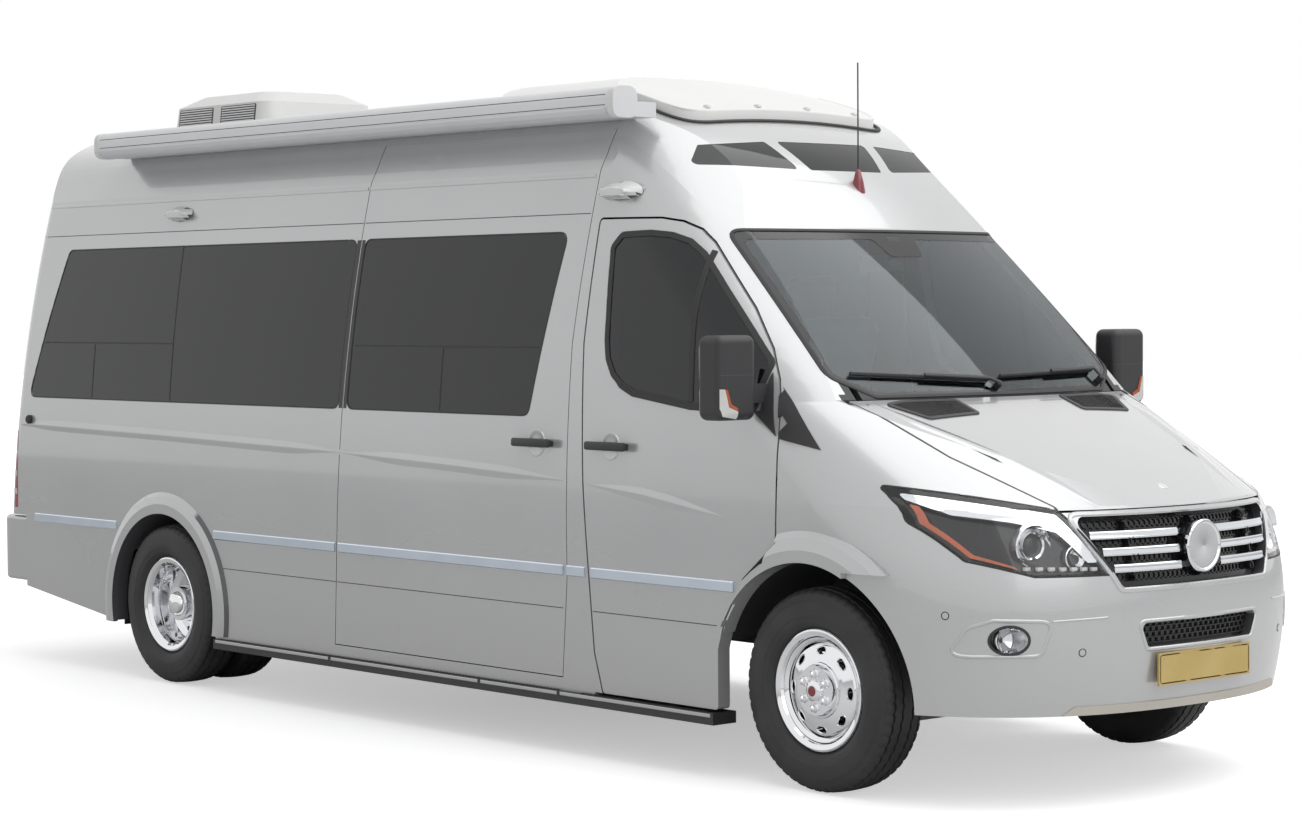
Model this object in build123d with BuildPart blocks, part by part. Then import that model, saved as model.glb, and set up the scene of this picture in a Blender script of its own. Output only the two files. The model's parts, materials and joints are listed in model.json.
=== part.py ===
"""A long high-roof camper van: hollow body, doors, glass, running gear and roof fittings."""
from build123d import *
from math import cos, radians, sin
import os

os.makedirs("parts", exist_ok=True)

# Driving dimensions, in millimetres. X points ahead, Y to the van's left, Z up from the ground.
overall_length = 6945
front_overhang = 1020
wheelbase = 4325
front_axle_x = overall_length / 2 - front_overhang
rear_axle_x = front_axle_x - wheelbase
rear_overhang = overall_length - front_overhang - wheelbase

# Body skin
body_half_width = 996
waist_z = 800
lean_in = 68
rear_face_x = front_axle_x - 5850
rear_lean = 0.10
rear_corner_radius = 100
roof_crown_z = 2700
bow_axis_behind = 3500
wall = 60
bonnet_wall = 30
glass = 6
glass_depth = 1
seat_gap = 0.3
panel_gap = 8
skin_bottom_z = 200
nose_top_z = 1060
belt_z = 1420
skin_top_z = 2760
roof_edge_z = 2480

# Openings and doors
sill_z = 250
door_sill_z = 262
slide_sill_z = 305
board_depth = 45
window_bottom_z = 1335
window_top_z = 2070
rear_door_bottom_z = 745
rear_door_top_z = 2330
rear_door_half_width = 895
rear_door_lean = 0.0946
rear_door_head_gap = 14
rear_door_split = 5
rear_bumper_bottom = 400
rear_bumper_top = 735
rear_bumper_length = 290
bumper_bottom_z = 335
bumper_top_z = 815
front_panel_top_z = 1042
front_panel_half_width = 575

# Hinges
hinge_pin_radius = 5
hinge_ring_radius = 9
running_gap = 0.05
front_hinge_from_axle = -230
front_hinge_y = -977
front_hinge_heights = [960, 1130]
rear_hinge_behind = 16
rear_hinge_heights = [1390, 1700, 2200]
bonnet_hinge_from_axle = -40
bonnet_hinge_z = 1410
bonnet_hinge_half = 720

# Wheels
tyre_radius = 375
tyre_bulge = 107
rim_seat_radius = 204
rim_lip_radius = 223
rim_half_width = 80
lip_thickness = 7
front_track_half = 855
rear_outer_track_half = 893
twin_spacing = 250
arch_z = 362
front_arch_radius = 482
rear_arch_radius = 445
front_flare_width = 122
rear_flare_width = 108
flare_reach = 24
arch_depth = 470
liner_wall = 12
steer_axis_half = 760
spindle_radius = 32
kingpin_radius = 14

# Underbody
floor_z = 610
floor_thickness = 45
rail_half_track = 405
rail_width = 60
rail_bottom_z = 490
firewall_from_axle = -200
firewall_top_z = 1328
wheelhouse_inner = 492
subframe_half = 520
beam_half = 520


def ahead(distance):
    """X of a place that lies this far ahead of the front axle."""
    return front_axle_x + distance


def half_width(z):
    """Half the body's width at a height: upright below the waist, leaning in above it."""
    return body_half_width - lean_in * (max(0, z - waist_z) / 1000) ** 2


def rear_x(z):
    """X of the rear face at a height."""
    return rear_face_x + rear_lean * (z - floor_z)


def rear_edge(z):
    """Distance of a rear door's outer edge from the middle at a height."""
    return rear_door_half_width - rear_door_lean * (z - rear_door_bottom_z)


# Plan stations of the front end: height, where the side starts to turn in, corner x,
# how far the corner lies inside the side, and the x of the centre, all ahead of the front axle.
nose_stations = [
    (skin_bottom_z, 130, 690, 215, 950),
    (450, 150, 745, 205, 1003),
    (700, 150, 765, 205, front_overhang),
    (900, 110, 735, 215, 1000),
    (nose_top_z, 20, 660, 225, 945),
]
shoulder_steps = 4
belt_station = (belt_z, -400, -5, 160, 250)
pillar_slope = 1.03
pillar_levels = [belt_z, 1700, 2000, 2300, 2550, skin_top_z]


def plan_outline(z, turn_x, corner_x, corner_in, front_x, inset):
    """Draw the body's outline at one height, a distance inside the skin."""
    side = half_width(z) - inset
    corner = (ahead(corner_x) - 0.65 * inset, half_width(z) - corner_in - 0.75 * inset)
    back = rear_x(z) + inset
    radius = rear_corner_radius - inset
    with BuildSketch(Plane.XY.offset(z)) as outline:
        with BuildLine():
            nose = (ahead(front_x) - inset, 0)
            Spline((ahead(turn_x), side), corner, nose, tangents=[(1, 0), (0, -1)])
            Spline(nose, (corner[0], -corner[1]), (ahead(turn_x), -side), tangents=[(0, -1), (-1, 0)])
            Line((ahead(turn_x), -side), (back + radius, -side))
            RadiusArc((back + radius, -side), (back, radius - side), radius)
            Line((back, radius - side), (back, side - radius))
            RadiusArc((back, side - radius), (back + radius, side), radius)
            Line((back + radius, side), (ahead(turn_x), side))
        make_face()
    return outline.sketch


def between(low, high, share):
    """A station part of the way between two others."""
    return tuple(a + (b - a) * share for a, b in zip(low, high))


def roof_arch(inset):
    """Draw the cross-section that rounds the roof's shoulders and crowns its middle."""
    with BuildSketch(Plane.YZ) as arch:
        with BuildLine():
            Spline(
                (862 - inset, 2250),
                (808 - inset, 2381 - 0.3 * inset),
                (772 - 0.9 * inset, 2462 - 0.5 * inset),
                (700 - 0.7 * inset, 2550 - 0.8 * inset),
                (560 - 0.5 * inset, 2625 - inset),
                (0, roof_crown_z - inset),
                tangents=[(-0.2, 1), (-1, 0)],
            )
            Polyline((862 - inset, 2250), (1200, 2200), (1200, 0), (0, 0), (0, roof_crown_z - inset))
        make_face()
        mirror(about=Plane.YZ)
    return arch.sketch


def front_profile(inset):
    """Draw the centre line of bonnet, windscreen and roof cap, to be turned about the bow axis."""
    cap_top_x = ahead(-2300)
    windscreen_foot = (ahead(75) - 0.5 * inset, 1425 - inset)
    windscreen_head = (ahead(-560) - 0.7 * inset, 2075 - 0.5 * inset)
    with BuildSketch(Plane.XZ) as profile:
        with BuildLine():
            Polyline((ahead(-bow_axis_behind), 100), (ahead(1100), 100), (ahead(1100), 975 - inset))
            Spline(
                (ahead(1100), 975 - inset),
                (ahead(850), 1100 - inset),
                (ahead(600), 1211 - inset),
                windscreen_foot,
            )
            Spline(windscreen_foot, (ahead(-232) - 0.7 * inset, 1762 - 0.6 * inset), windscreen_head)
            Spline(
                windscreen_head,
                (ahead(-700) - 0.7 * inset, 2245 - 0.5 * inset),
                (ahead(-1000) - 0.6 * inset, 2480 - 0.8 * inset),
                (ahead(-1500) - 0.2 * inset, 2645 - inset),
                (cap_top_x, skin_top_z - inset),
                tangents=[(-0.62, 0.78), (-1, 0.05)],
            )
            Polyline(
                (cap_top_x, skin_top_z - inset),
                (ahead(-bow_axis_behind), skin_top_z - inset),
                (ahead(-bow_axis_behind), 100),
            )
        make_face()
    return profile.sketch


def nose_block(inset):
    """The body's lower front end alone, its skin set in by a distance."""
    with BuildPart() as block:
        loft([plan_outline(*station, inset) for station in nose_stations])
    return block.part


def envelope(inset):
    """The whole body as a block, its skin set in by a distance."""
    nose = [plan_outline(*station, inset) for station in nose_stations]
    shares = [step / shoulder_steps for step in range(shoulder_steps + 1)]
    shoulder = [plan_outline(*between(nose_stations[-1], belt_station, share), inset) for share in shares]
    upper = []
    _, turn_x, corner_x, corner_in, front_x = belt_station
    for z in pillar_levels:
        back = pillar_slope * (z - belt_z)
        upper.append(plan_outline(z, turn_x - back, corner_x - back, corner_in, front_x - back, inset))
    with BuildPart() as bow:
        revolve(front_profile(inset), axis=Axis((ahead(-bow_axis_behind), 0, 0), (0, 0, 1)))
        with Locations((ahead(-bow_axis_behind), 0, 100)):
            Box(3000, 2400, skin_top_z - inset - 100, align=(Align.MAX, Align.CENTER, Align.MIN))
    with BuildPart() as block:
        loft(nose)
        loft(shoulder)
        loft(upper)
        extrude(roof_arch(inset), amount=overall_length, both=True, mode=Mode.INTERSECT)
        add(bow.part, mode=Mode.INTERSECT)
    return block.part


def prism(plane, points, rounding=0, gap=0, reach=1400, both=False):
    """A bar with the outline of these points, grown by a gap, standing out of a plane."""
    with BuildPart() as bar:
        with BuildSketch(plane) as outline:
            with BuildLine():
                Polyline(points, close=True)
            make_face()
            if rounding:
                fillet(outline.vertices(), rounding)
            if gap:
                offset(amount=gap, kind=Kind.INTERSECTION)
        extrude(amount=reach, both=both)
    return bar.part


def side_prism(points, rounding=0, gap=0, both=False):
    """A bar through the right-hand wall. Points are distance ahead of the front axle and height."""
    return prism(Plane.XZ, [(ahead(x), z) for x, z in points], rounding, gap, both=both)


def nose_prism(points, rounding=0, gap=0):
    """A bar through the nose with this outline, seen from the front."""
    return prism(Plane.YZ.offset(ahead(200)), points, rounding, gap, reach=1000)


def tail_prism(points, rounding=0, gap=0, reach=500):
    """A bar through the rear face with this outline, seen from the front."""
    return prism(Plane.YZ.offset(ahead(-6000)), points, rounding, gap, reach)


def block(x_range, y_range, z_range):
    """A plain box between pairs of limits. X limits are given ahead of the front axle."""
    with BuildPart() as box:
        with Locations((ahead(x_range[0]), y_range[0], z_range[0])):
            Box(
                x_range[1] - x_range[0],
                y_range[1] - y_range[0],
                z_range[1] - z_range[0],
                align=(Align.MIN, Align.MIN, Align.MIN),
            )
    return box.part


def drum(x, y_range, z, radius):
    """A plain cylinder lying across the van between two Y limits."""
    with BuildPart() as roll:
        with BuildSketch(Plane.XZ.offset(-y_range[1])):
            with Locations((x, z)):
                Circle(radius)
        extrude(amount=y_range[1] - y_range[0])
    return roll.part


def bow_drum(radius):
    """An upright cylinder about the bow axis."""
    with BuildPart() as roll:
        with BuildSketch(Plane.XY):
            with Locations((ahead(-bow_axis_behind), 0)):
                Circle(radius)
        extrude(amount=3000)
    return roll.part


def upright(x, y, z_range, radius):
    """An upright cylinder between two heights."""
    with BuildPart() as post:
        with Locations((x, y, z_range[0])):
            Cylinder(radius, z_range[1] - z_range[0], align=(Align.CENTER, Align.CENTER, Align.MIN))
    return post.part


def turned(points, x, z):
    """A solid of revolution about a line across the van. Points are Y and distance from the line."""
    with BuildPart() as body:
        with BuildSketch(Plane.YZ.offset(x)):
            with BuildLine():
                Polyline([(y, z + radius) for y, radius in points], close=True)
            make_face()
        revolve(axis=Axis((x, 0, z), (0, 1, 0)))
    return body.part


def left_of(piece):
    """The left-hand twin of a right-hand piece."""
    return mirror(piece, about=Plane.XZ)


def both_sides(piece):
    """A right-hand piece with its left-hand twin."""
    return Part() + [piece, left_of(piece)]


def flipped(points):
    """The same outline on the van's other side."""
    return [(-y, z) for y, z in reversed(points)]


def finish(piece, label):
    """Name a finished piece and write it."""
    piece.label = label
    export_step(piece, f"parts/{label}.step")


# Skins that the panels are cut from
outer = envelope(0)
clear_skin = envelope(-seat_gap)
shell = outer - envelope(wall)
glass_skin = envelope(glass_depth) - envelope(glass_depth + glass)
bonnet_skin = outer - envelope(bonnet_wall)
lining = envelope(wall + seat_gap)

# Outlines on the right-hand side: distance ahead of the front axle and height
front_door_outline = [
    (-1130, door_sill_z), (-470, door_sill_z), (-470, 490), (-434, 608), (-336, 763), (-162, 905),
    (-162, 1290), (-182, 1390), (-230, 1500), (-300, 1610), (-430, 1760), (-690, 2012), (-760, 2064), (-840, 2096),
    (-930, 2111), (-1262, 2116), (-1285, 1630), (-1250, 1090), (-1180, 420),
]
front_window_outline = [
    (-275, 1560), (-432, 1713), (-700, 1970), (-775, 2020), (-860, 2046), (-960, 2056), (-1120, 2052),
    (-1168, 2005), (-1150, 1640), (-1136, 1570), (-1100, 1510), (-1045, 1468), (-970, 1440), (-639, 1396),
    (-290, 1386),
]
slide_door_outline = [
    (-1380, slide_sill_z), (-1350, 700), (-1362, 1630), (-1322, 2130), (-1296, roof_edge_z - seat_gap),
    (-2842, roof_edge_z - seat_gap), (-2880, 1630), (-2936, slide_sill_z),
]
window_head = [(-1450, window_top_z), (-2832, window_top_z), (-2892, window_top_z), (-5350, window_top_z)]
window_foot = [(-1610, window_bottom_z), (-2864, window_bottom_z), (-2925, window_bottom_z),
               (-5620, window_bottom_z)]
slide_window_outline = window_head[:2] + window_foot[1::-1]
rear_window_outline = window_head[2:] + window_foot[:1:-1]
left_window_outline = window_head[::3] + window_foot[::-3]
windscreen_outline = [(-640, 1432), (-794, 1510), (-743, 2062), (743, 2062), (794, 1510), (640, 1432)]
skylight_outlines = [
    [(-690, 2325), (-620, 2405), (-310, 2425), (-260, 2310)],
    [(-200, 2308), (-250, 2427), (250, 2427), (200, 2308)],
    [(260, 2310), (310, 2425), (620, 2405), (690, 2325)],
]
rear_pane_outline = [(-755, 1400), (-700, 2060), (-130, 2060), (-130, 1400)]
rear_door_outline = [
    (-rear_edge(rear_door_bottom_z), rear_door_bottom_z), (-rear_edge(rear_door_top_z), rear_door_top_z),
    (-rear_door_split, rear_door_top_z), (-rear_door_split, rear_door_bottom_z),
]
door_rounding = 16
# Room ahead of the front door's slanted edge, which swings forwards past the hinge as the door opens
fender_relief = [
    (-336, 763), (-326, 769), (-246, 821), (-206, 836), (-198, 852), (-190, 870), (-166, 893), (-150, 909), (-165, 909),
]
flare_relief = [
    (-440, 600), (-414, 603), (-316, 758), (-262, 798), (-224, 814), (-206, 828), (-198, 852), (-186, 872), (-140, 909),
    (-165, 909), (-336, 763),
]
window_rounding = 45
front_window_rounding = 30
rear_pane_rounding = 70
skylight_rounding = 12

front_door_bar = side_prism(front_door_outline, door_rounding)
front_door_hole = side_prism(front_door_outline, door_rounding, gap=panel_gap)
slide_door_bar = side_prism(slide_door_outline)
slide_door_hole = side_prism(slide_door_outline, gap=panel_gap / 2)
windscreen_hole = prism(Plane.YZ.offset(ahead(-900)), windscreen_outline, window_rounding)
front_arch_bar = drum(front_axle_x, (-1300, -arch_depth), arch_z, front_arch_radius)
left_arch_bar = drum(front_axle_x, (arch_depth, 1300), arch_z, front_arch_radius)
rear_arch_bar = drum(rear_axle_x, (-1300, -arch_depth), arch_z, rear_arch_radius)

# Zones where the big panels part
fender_rear = -154
cap_rear = -1290
rear_head_z = rear_door_top_z + rear_door_head_gap
rear_head_half = rear_edge(rear_door_top_z) + panel_gap
lamp_low_z = 770
lamp_high_z = 1330
lamp_length = 285
roof_zone = (
    block((-6000, 1200), (-1100, 1100), (roof_edge_z, 3000))
    + prism(Plane.YZ.offset(ahead(cap_rear)), [(-735, 1950), (-770, roof_edge_z), (770, roof_edge_z), (735, 1950)])
    + block((-6000, -5500), (-rear_head_half, rear_head_half), (rear_head_z, roof_edge_z))
)
tail_end = -wheelbase - rear_overhang
rear_bumper_zone = block((-6000, tail_end + rear_bumper_length + seat_gap), (-1100, 1100), (0, rear_bumper_top))
rear_door_zone = tail_prism([
    (-rear_edge(0) - panel_gap, 0), (-rear_edge(rear_head_z) - panel_gap, rear_head_z),
    (rear_edge(rear_head_z) + panel_gap, rear_head_z), (rear_edge(0) + panel_gap, 0),
])
tail_lamp_outline = [
    (-rear_edge(lamp_low_z) - panel_gap - 6, lamp_low_z), (-rear_edge(lamp_high_z) - panel_gap - 6, lamp_high_z),
    (-1100, lamp_high_z), (-1100, lamp_low_z),
]
tail_lamp_zone = tail_prism(tail_lamp_outline, reach=lamp_length)
front_zone = (
    block((fender_rear, 1200), (-1100, 1100), (0, 1408))
    + block((-480, 1200), (-1100, 1100), (0, 925))
)
cowl_zone = (
    block((-400, 300), (-795, 795), (1300, 1445))
    + block((-400, 300), (-765, -600), (1400, 1520))
    + block((-400, 300), (600, 765), (1400, 1520))
)
bumper_zone = (
    block((300, 1200), (-1100, 1100), (0, bumper_top_z))
    + block((300, 1200), (-front_panel_half_width, front_panel_half_width), (0, front_panel_top_z))
)
under_zone = (
    block((-6000, 1200), (-1100, 1100), (0, sill_z))
    + block((-1180, -400), (-1100, 1100), (0, door_sill_z))
)
skirt_cut = side_prism([(-4780, sill_z + 20), (-5700, 385), (-5700, 0), (-3000, 0), (-3000, sill_z), (-4600, sill_z)])
right_zone = block((-6000, 1200), (-1100, 0), (0, 3000))
right_shell = shell & right_zone
nose_shell = shell & block((-490, 1200), (-1100, 1100), (0, 1530))


def on_rear_axis(z):
    """A plane on the right-hand rear door's hinge axis, which leans with the rear face."""
    return Plane(
        origin=(rear_x(z) - rear_hinge_behind, -rear_edge(z) - panel_gap / 2, z),
        x_dir=(0, 1, 0),
        z_dir=(rear_lean, rear_door_lean, 1),
    )


def hinge_barrel(z, low, high, side):
    """One barrel of a rear hinge with a leaf to the rear face: side 1 is the door's, -1 the body's."""
    leaf_reach = 30
    leaf_depth = 2 * rear_hinge_behind - 10
    with BuildPart() as barrel:
        with BuildSketch(on_rear_axis(z).offset(low)):
            Circle(hinge_ring_radius)
            with Locations((side * leaf_reach / 2, -rear_hinge_behind / 2)):
                Rectangle(leaf_reach, leaf_depth)
        extrude(amount=high - low)
    return barrel.part


def rear_pin(z, low, high, radius):
    """A round bar on the rear hinge axis."""
    with BuildPart() as pin:
        with BuildSketch(on_rear_axis(z).offset(low)):
            Circle(radius)
        extrude(amount=high - low)
    return pin.part


barrel_length = 24


def body_side(openings):
    """One side wall with its pillars and rear hinge posts, cut for doors, windows and wheels (right-hand)."""
    with BuildPart() as side:
        add(right_shell)
        add([roof_zone, rear_bumper_zone, rear_door_zone, tail_lamp_zone, front_zone, cowl_zone, under_zone,
             windscreen_hole, front_arch_bar, rear_arch_bar, skirt_cut] + openings, mode=Mode.SUBTRACT)
        for z in rear_hinge_heights:
            add(hinge_barrel(z, running_gap, barrel_length, -1))
            add(rear_pin(z, -barrel_length, barrel_length, hinge_pin_radius))
    return side.part


with BuildPart() as body_side_right:
    add(body_side([front_door_hole, slide_door_hole, side_prism(rear_window_outline, window_rounding)]))
finish(body_side_right.part, "body_side_right")

with BuildPart() as body_side_left:
    add(left_of(body_side([front_door_hole, side_prism(left_window_outline, window_rounding)])))
finish(body_side_left.part, "body_side_left")

with BuildPart() as roof:
    add(shell & roof_zone)
    add(windscreen_hole, mode=Mode.SUBTRACT)
    add(side_prism(front_door_outline, door_rounding, gap=panel_gap, both=True), mode=Mode.SUBTRACT)
    for outline in skylight_outlines:
        add(prism(Plane.YZ.offset(ahead(-1500)), outline, skylight_rounding), mode=Mode.SUBTRACT)
finish(roof.part, "roof")

with BuildPart() as sliding_door:
    add(right_shell & slide_door_bar)
    add(side_prism(slide_window_outline, window_rounding), mode=Mode.SUBTRACT)
finish(sliding_door.part, "sliding_door")

with BuildPart() as cabin_windows:
    add(glass_skin & side_prism(rear_window_outline, window_rounding, gap=-seat_gap))
    add(glass_skin & side_prism(slide_window_outline, window_rounding, gap=-seat_gap))
    add(left_of(glass_skin & side_prism(left_window_outline, window_rounding, gap=-seat_gap)))
    for outline in skylight_outlines:
        add(glass_skin & prism(Plane.YZ.offset(ahead(-1500)), outline, skylight_rounding, gap=-seat_gap))
finish(cabin_windows.part, "cabin_windows")

with BuildPart() as windscreen:
    add(glass_skin & prism(Plane.YZ.offset(ahead(-900)), windscreen_outline, window_rounding, gap=-seat_gap))
finish(windscreen.part, "windscreen")

with BuildPart() as tail_lamps:
    add(both_sides(right_shell & tail_prism(tail_lamp_outline, gap=-seat_gap, reach=lamp_length - seat_gap)))
finish(tail_lamps.part, "tail_lamps")

# Nose: bonnet, fenders, bumper, lamps and grille
bonnet_plan = [(-60, 785), (430, 695), (800, 572), (1200, 500), (1200, -500), (800, -572), (430, -695), (-60, -785)]
bonnet_points = [(ahead(x), y) for x, y in bonnet_plan]
bonnet_rear_radius = bow_axis_behind + 86
headlamp_outline = [(-572, 1052), (-428, 826), (-700, 826), (-858, 880), (-930, 1010), (-925, 1135), (-790, 1105)]
headlamp_rounding = 12
grille_outline = [(-545, 1028), (-400, 778), (400, 778), (545, 1028)]
grille_rounding = 30
slot_outline = [(-330, 650), (-290, 562), (290, 562), (330, 650)]
slot_rounding = 20
fog_y = -775
fog_z = 607
fog_radius = 46
bonnet_hole = prism(Plane.XY.offset(front_panel_top_z), bonnet_points, gap=panel_gap, reach=500)
headlamp_holes = [nose_prism(points, headlamp_rounding, gap=seat_gap)
                  for points in (headlamp_outline, flipped(headlamp_outline))]
bonnet_hinge_x = ahead(bonnet_hinge_from_axle)


def bonnet_arm(y):
    """A flat arm from the bonnet's inner face back to a ring on the hinge line."""
    thickness = 10
    with BuildPart() as arm:
        with BuildSketch(Plane.XZ.offset(-y - thickness / 2)):
            with Locations((bonnet_hinge_x, bonnet_hinge_z)):
                Circle(hinge_ring_radius + 1)
            with Locations((bonnet_hinge_x, bonnet_hinge_z - 6)):
                Rectangle(96, 12, align=(Align.MIN, Align.CENTER))
            with Locations((bonnet_hinge_x, bonnet_hinge_z)):
                Circle(hinge_pin_radius + running_gap, mode=Mode.SUBTRACT)
        extrude(amount=thickness)
    return arm.part


with BuildPart() as bonnet:
    add(bonnet_skin & prism(Plane.XY.offset(front_panel_top_z + panel_gap), bonnet_points, reach=500))
    add(bow_drum(bonnet_rear_radius), mode=Mode.SUBTRACT)
    for y in (-bonnet_hinge_half, bonnet_hinge_half):
        add(bonnet_arm(y))
finish(bonnet.part, "bonnet")

slot_half = 14
with BuildPart() as cowl:
    add(nose_shell & (cowl_zone & bow_drum(bonnet_rear_radius - panel_gap)))
    add(windscreen_hole, mode=Mode.SUBTRACT)
    for y in (-bonnet_hinge_half, bonnet_hinge_half):
        add(block((-400, 300), (y - slot_half, y + slot_half), (1300, 1600)), mode=Mode.SUBTRACT)
        add(drum(bonnet_hinge_x, (y - slot_half - 6, y + slot_half + 6), bonnet_hinge_z, hinge_pin_radius))
finish(cowl.part, "cowl")

front_hinge_x = ahead(front_hinge_from_axle)
hinge_leaf = 18
hinge_pocket = 34
hinge_crank = 76


def hinge_pocket_at(z):
    """The hollow in a front door's edge that lets the hinge arm swing."""
    with BuildPart() as pocket:
        with Locations((front_hinge_x - hinge_ring_radius - 3, front_hinge_y - hinge_ring_radius - 1, z)):
            Box(120, 120, hinge_pocket, align=(Align.MIN, Align.MIN, Align.CENTER))
    return pocket.part


def hinge_arm(z):
    """A cranked arm from the fender's inner face to the ring on a front door's hinge pin."""
    centred_low_y = (Align.CENTER, Align.MIN, Align.CENTER)
    to_inner_face = (Align.MIN, Align.MAX, Align.CENTER)
    with BuildPart() as arm:
        with Locations((front_hinge_x, front_hinge_y, z)):
            Cylinder(hinge_ring_radius, hinge_leaf)
            Box(14, hinge_crank, hinge_leaf, align=centred_low_y)
        with Locations((front_hinge_x - 7, front_hinge_y + hinge_crank, z)):
            Box(140, 14, hinge_leaf, align=to_inner_face)
        with Locations((front_hinge_x + 95, front_hinge_y + hinge_crank, z)):
            Box(38, 50, hinge_leaf, align=to_inner_face)
        with Locations((front_hinge_x, front_hinge_y, z)):
            Cylinder(hinge_pin_radius + running_gap, hinge_leaf, mode=Mode.SUBTRACT)
    return arm.part


with BuildPart() as fender:
    add(nose_shell & (front_zone & right_zone))
    add([bonnet_hole, headlamp_holes[0], bumper_zone, front_arch_bar, under_zone, front_door_hole],
        mode=Mode.SUBTRACT)
    add([cowl_zone & bow_drum(bonnet_rear_radius), side_prism(fender_relief)], mode=Mode.SUBTRACT)
    for z in front_hinge_heights:
        add(hinge_arm(z))
with BuildPart() as fenders:
    add(both_sides(fender.part))
finish(fenders.part, "fenders")

with BuildPart() as front_bumper:
    add(nose_shell & (bumper_zone & block((300, 1200), (-1100, 1100), (bumper_bottom_z, 1100))))
    add(headlamp_holes, mode=Mode.SUBTRACT)
    add([front_arch_bar, left_arch_bar], mode=Mode.SUBTRACT)
    add([nose_prism(grille_outline, grille_rounding), nose_prism(slot_outline, slot_rounding)], mode=Mode.SUBTRACT)
    add(bonnet_hole, mode=Mode.SUBTRACT)
    with Locations(*[Plane.YZ.offset(ahead(300)).location * Pos(y, fog_z) for y in (fog_y, -fog_y)]):
        Cylinder(fog_radius + seat_gap, 900, align=(Align.CENTER, Align.CENTER, Align.MIN), mode=Mode.SUBTRACT)
finish(front_bumper.part, "front_bumper")

with BuildPart() as headlamps:
    add(both_sides((nose_shell & nose_prism(headlamp_outline, headlamp_rounding)) - bonnet_hole))
finish(headlamps.part, "headlamps")

slat_z = [835, 893, 951]
slat_height = 20
mesh_depths = (40, 58)
slat_depths = (6, 24)
stem_depths = (12, 45)
badge_radius = 88
badge_z = 905
mesh_skin = nose_block(mesh_depths[0]) - nose_block(mesh_depths[1])
with BuildPart() as grille:
    add(mesh_skin & nose_prism(grille_outline, grille_rounding, gap=-seat_gap))
    slat_skin = (nose_block(slat_depths[0]) - nose_block(slat_depths[1])) & nose_prism(
        grille_outline, grille_rounding, gap=-seat_gap)
    for z in slat_z:
        add(slat_skin & nose_prism([(-560, z), (560, z), (560, z + slat_height), (-560, z + slat_height)]))
    stem_skin = nose_block(stem_depths[0]) - nose_block(stem_depths[1])
    for y in (-330, 0, 330):
        add(stem_skin & nose_prism([(y - 9, 800), (y + 9, 800), (y + 9, 1010), (y - 9, 1010)]))
    with BuildSketch(Plane.YZ.offset(ahead(910))):
        with Locations((0, badge_z)):
            Circle(badge_radius)
    extrude(amount=98)
    add(mesh_skin & nose_prism(slot_outline, slot_rounding, gap=-seat_gap))
finish(grille.part, "grille")

plate_width = 520
plate_height = 116
plate_z = 482
plate_thickness = 8
with BuildPart() as number_plate:
    with Locations((ahead(front_overhang), 0, plate_z)):
        Box(plate_thickness, plate_width, plate_height, align=(Align.MAX, Align.CENTER, Align.CENTER))
    with Locations((ahead(front_overhang) - plate_thickness, 0, plate_z)):
        Box(60, plate_width - 120, plate_height - 40, align=(Align.MAX, Align.CENTER, Align.CENTER))
    add(outer, mode=Mode.SUBTRACT)
finish(number_plate.part, "number_plate")

porch_z = 2222
porch_x = [-4366, -1177]


def fog_bar():
    """A round bar through the right-hand fog lamp."""
    with BuildPart() as bar:
        with Locations(Plane.YZ.offset(ahead(300)).location * Pos(fog_y, fog_z)):
            Cylinder(fog_radius, 900, align=(Align.CENTER, Align.CENTER, Align.MIN))
    return bar.part


def porch_lamp(x):
    """An oval lamp on the right-hand wall, tapering outwards."""
    with BuildPart() as porch:
        with BuildSketch(Plane.XZ.offset(half_width(porch_z) - 30)):
            with Locations((ahead(x), porch_z)):
                Ellipse(130, 46)
        with BuildSketch(Plane.XZ.offset(half_width(porch_z) + 42)):
            with Locations((ahead(x), porch_z)):
                Ellipse(84, 20)
        loft()
    return porch.part - clear_skin


with BuildPart() as small_lamps:
    add(both_sides((nose_block(10) - nose_block(wall)) & fog_bar()))
    for x in porch_x:
        add(both_sides(porch_lamp(x)))
finish(small_lamps.part, "small_lamps")

# Front doors on pinned hinges, with glass and mirrors
with BuildPart() as front_door:
    add(right_shell & front_door_bar)
    add([side_prism(front_window_outline, front_window_rounding)] + [hinge_pocket_at(z) for z in front_hinge_heights],
        mode=Mode.SUBTRACT)
    for z in front_hinge_heights:
        with Locations((front_hinge_x, front_hinge_y, z)):
            Cylinder(hinge_pin_radius, hinge_pocket + 4)
finish(front_door.part, "front_door_right")
finish(left_of(front_door.part), "front_door_left")

with BuildPart() as front_window:
    add(glass_skin & side_prism(front_window_outline, front_window_rounding, gap=-seat_gap))
finish(front_window.part, "front_window_right")
finish(left_of(front_window.part), "front_window_left")

mirror_x = ahead(-285)
mirror_y = -1115
mirror_z = 1510
mirror_size = (125, 190, 310)
with BuildPart() as mirror_right:
    with Locations((mirror_x, mirror_y, mirror_z)):
        Box(*mirror_size)
    fillet(mirror_right.edges(), 30)
    with Locations((mirror_x, mirror_y, mirror_z - 60)):
        Box(60, 220, 70, align=(Align.CENTER, Align.MIN, Align.CENTER))
    add(clear_skin, mode=Mode.SUBTRACT)
finish(mirror_right.part, "mirror_right")
finish(left_of(mirror_right.part), "mirror_left")

# Rear doors
with BuildPart() as rear_door:
    add(right_shell & tail_prism(rear_door_outline))
    add(tail_prism(rear_pane_outline, rear_pane_rounding), mode=Mode.SUBTRACT)
    for z in rear_hinge_heights:
        add(hinge_barrel(z, -barrel_length, -running_gap, 1))
        add(rear_pin(z, -barrel_length - 1, 0, hinge_pin_radius + running_gap), mode=Mode.SUBTRACT)
finish(rear_door.part, "rear_door_right")
finish(left_of(rear_door.part), "rear_door_left")

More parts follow.
